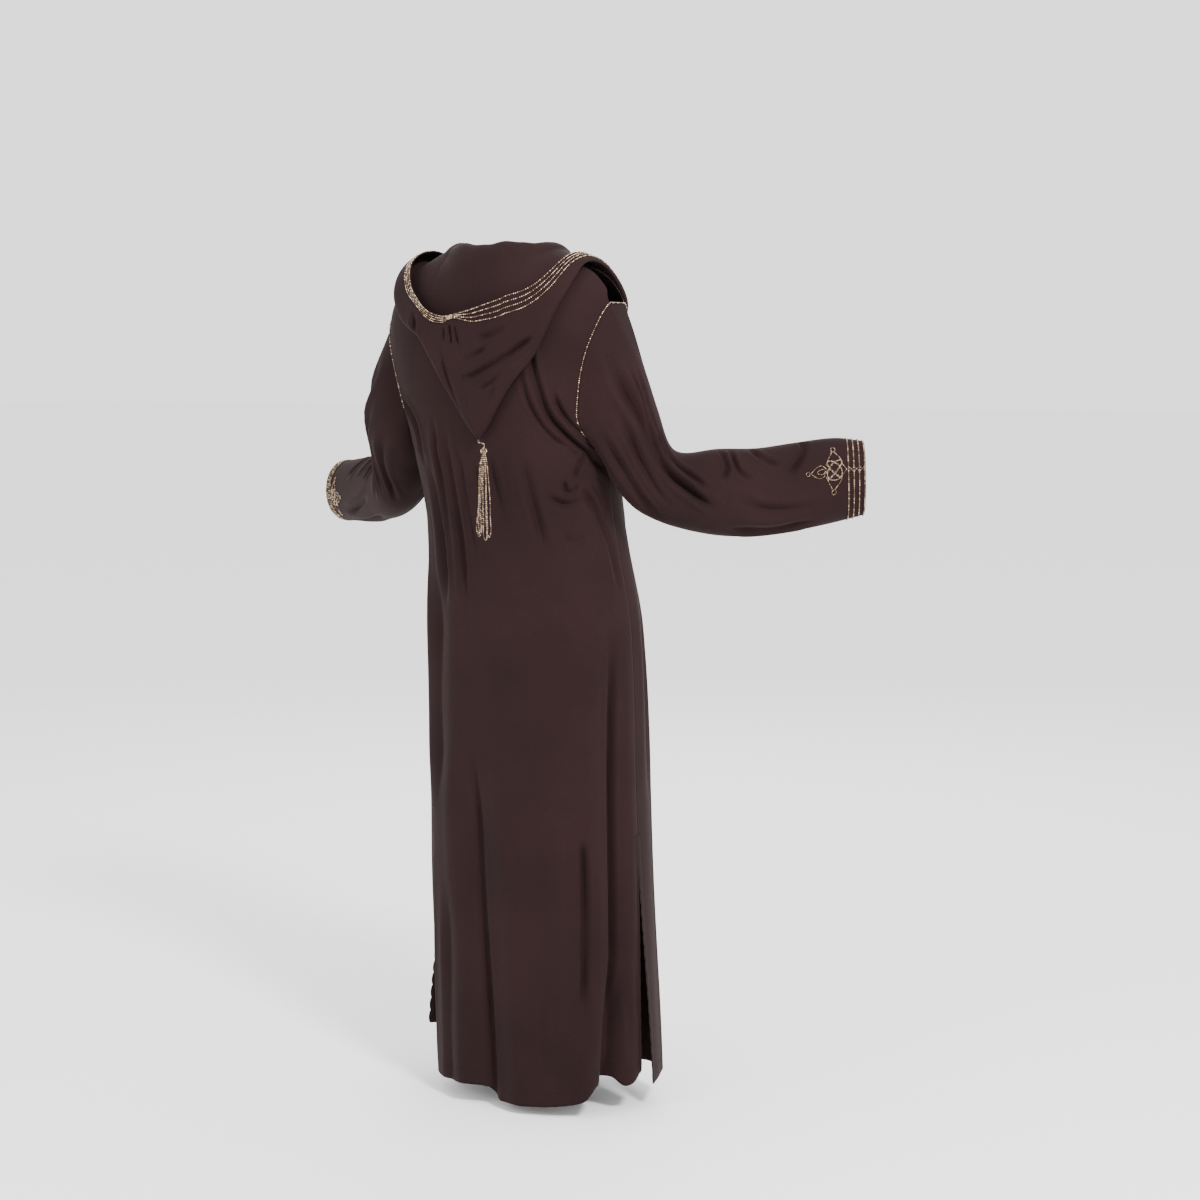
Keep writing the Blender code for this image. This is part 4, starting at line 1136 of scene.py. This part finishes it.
TASSEL_THREAD = 0.0007
LOOP_PAIRS = 5
LOOP_LEVELS = (0.0, 0.10, 0.30, 0.55, 0.80, 0.95)   # shares of a loop's length where its way is set
LOOP_SPREAD = 0.0120

head_low, head_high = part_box("tassel_head")
skirt_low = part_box("tassel_skirt")[0]
head_middle = (head_low + head_high) / 2
head_radius = (head_high.z - head_low.z) / 2
tip = (hoods["right"][0][HOOD_INNER_ROWS - 1, 0] + hoods["left"][0][HOOD_INNER_ROWS - 1, 0]) / 2


def round_the_line(points):
    """A way off for a cord that lies on nothing: towards the wearer's back."""
    return np.tile(np.array((0.0, 1.0, 0.0)), (len(points), 1))


thread_lines = []
for side in (-1, 1):
    line = smooth_line((
        (tip[0] + side * 0.0006, tip[1] + 0.001, tip[2] + 0.006),
        (tip[0] + side * 0.0012, tip[1] + 0.002, tip[2] - 0.004),
        (head_middle.x + side * 0.0009, head_middle.y, head_high.z + 0.006),
        (head_middle.x + side * 0.0005, head_middle.y, head_high.z - 0.001),
    ), 4)
    thread_lines.append((line, round_the_line(line), False))
tassel_thread = cord_piece("tassel_thread", thread_lines, [], twist=0.0018, radius=TASSEL_THREAD)

knob_lines = []
for ring in range(5):
    slope = math.radians(-62 + 31 * ring)
    t = np.linspace(0, 2 * math.pi, 25)[:-1]
    reach = (head_radius - 0.0011) * math.cos(slope)
    height = (head_radius - 0.0011) * math.sin(slope)
    round_knob = np.stack((np.cos(t), np.sin(t), 0 * t), axis=-1)
    off = round_knob * math.cos(slope) + (0, 0, math.sin(slope))
    line = np.array(head_middle) + round_knob * reach + (0, 0, height)
    knob_lines.append((line, off, True))
line = np.array(head_middle) + np.array([(0, 0, f * head_radius) for f in (-0.9, -0.4, 0.0, 0.4, 0.9)])
knob_lines.append((line, round_the_line(line), False))
tassel_knob = cord_piece("tassel_knob", knob_lines, ["tassel_head"], twist=0.0028, radius=0.0013)

loops = []
rng = np.random.default_rng(11)
top = np.array((head_middle.x, head_middle.y, head_low.z + 0.001))
for pair in range(LOOP_PAIRS):
    share = pair / (LOOP_PAIRS - 1) * 2 - 1
    bottom = skirt_low.z + 0.002 + abs(share) * 0.006 + rng.uniform(0.0, 0.007)
    turn = share * 1.9 + rng.uniform(-0.2, 0.2)
    way = np.array((math.cos(turn), math.sin(turn), 0.0))
    middle = top + np.array((share * LOOP_SPREAD, 0.0045 * math.sin(2.4 * pair + 0.6), 0.0))
    width = 0.0024 + rng.uniform(0.0, 0.0012)
    down = []
    back = []
    for level in LOOP_LEVELS:
        opened = 0.35 * ease(level / 0.15) + 0.65 * level
        centre = top + (middle - top) * (0.12 + 0.88 * opened)
        z = top[2] + (bottom + 0.004 - top[2]) * level
        apart = 0.0011 + width * opened
        wave = 0.0007 * math.sin(9 * level + 2 * pair)
        down.append((centre[0] + way[0] * apart + wave, centre[1] + way[1] * apart, z))
        back.append((centre[0] - way[0] * apart + wave, centre[1] - way[1] * apart, z))
    bend = (middle[0], middle[1], bottom)
    line = smooth_line(down + [bend] + back[::-1], 6)
    loops.append((line, round_the_line(line), False))
tassel_loops = cord_piece("tassel_loops", loops, ["tassel_skirt"], twist=0.0030, radius=0.0009)


# ---------------------------------------------------------------- hems and seams
# The hems are turned up and topstitched, and a row of stitches runs down the centre seam of the
# hood's inner layer. The thread is near the cloth's own colour.

HEM_TURN = 0.022
SEAM_COLUMN = 2            # column of a hood half's grid that the centre seam's stitches follow
SEAM_ENDS = (3, 4)         # rows left free of stitches at the neck seam and at the fold
STITCH_PITCH = 0.0034
THREAD = 0.00032


def thread_finish():
    """Sewing thread, near the crepe's colour and a little smoother."""
    made, tree, shader = finish("sewing_thread", 0.8, 0.12)
    tone = ramp(tree, speckle(tree, 400.0, 1.0),
                (0.3, (0.0130, 0.0052, 0.0056)), (0.7, (0.0185, 0.0076, 0.0082)))
    tree.links.new(tone, shader.inputs["Base Color"])
    return made


thread = thread_finish()


def stitched(name, lines):
    """Row of stitches along lines on the cloth."""
    return cord_piece(name, lines, [], twist=STITCH_PITCH, radius=THREAD, made=thread,
                      slant=0.0, length=0.68)


for panel, (grid, normals) in panels.items():
    line, off = line_inside(grid[::-1], normals[::-1], HEM_TURN, CLOTH_WALL / 2 + 0.0001)
    stitched(f"hem_stitches_{panel}", [(line, off, False)])

hood_seam = []
for grid, normals in hoods.values():
    inner = slice(SEAM_ENDS[0], HOOD_INNER_ROWS - SEAM_ENDS[1])
    off = normals[inner, SEAM_COLUMN]
    hood_seam.append((grid[inner, SEAM_COLUMN] + off * (CLOTH_WALL / 2 + 0.0001), off, False))
hood_stitches = stitched("hood_centre_stitches", hood_seam)
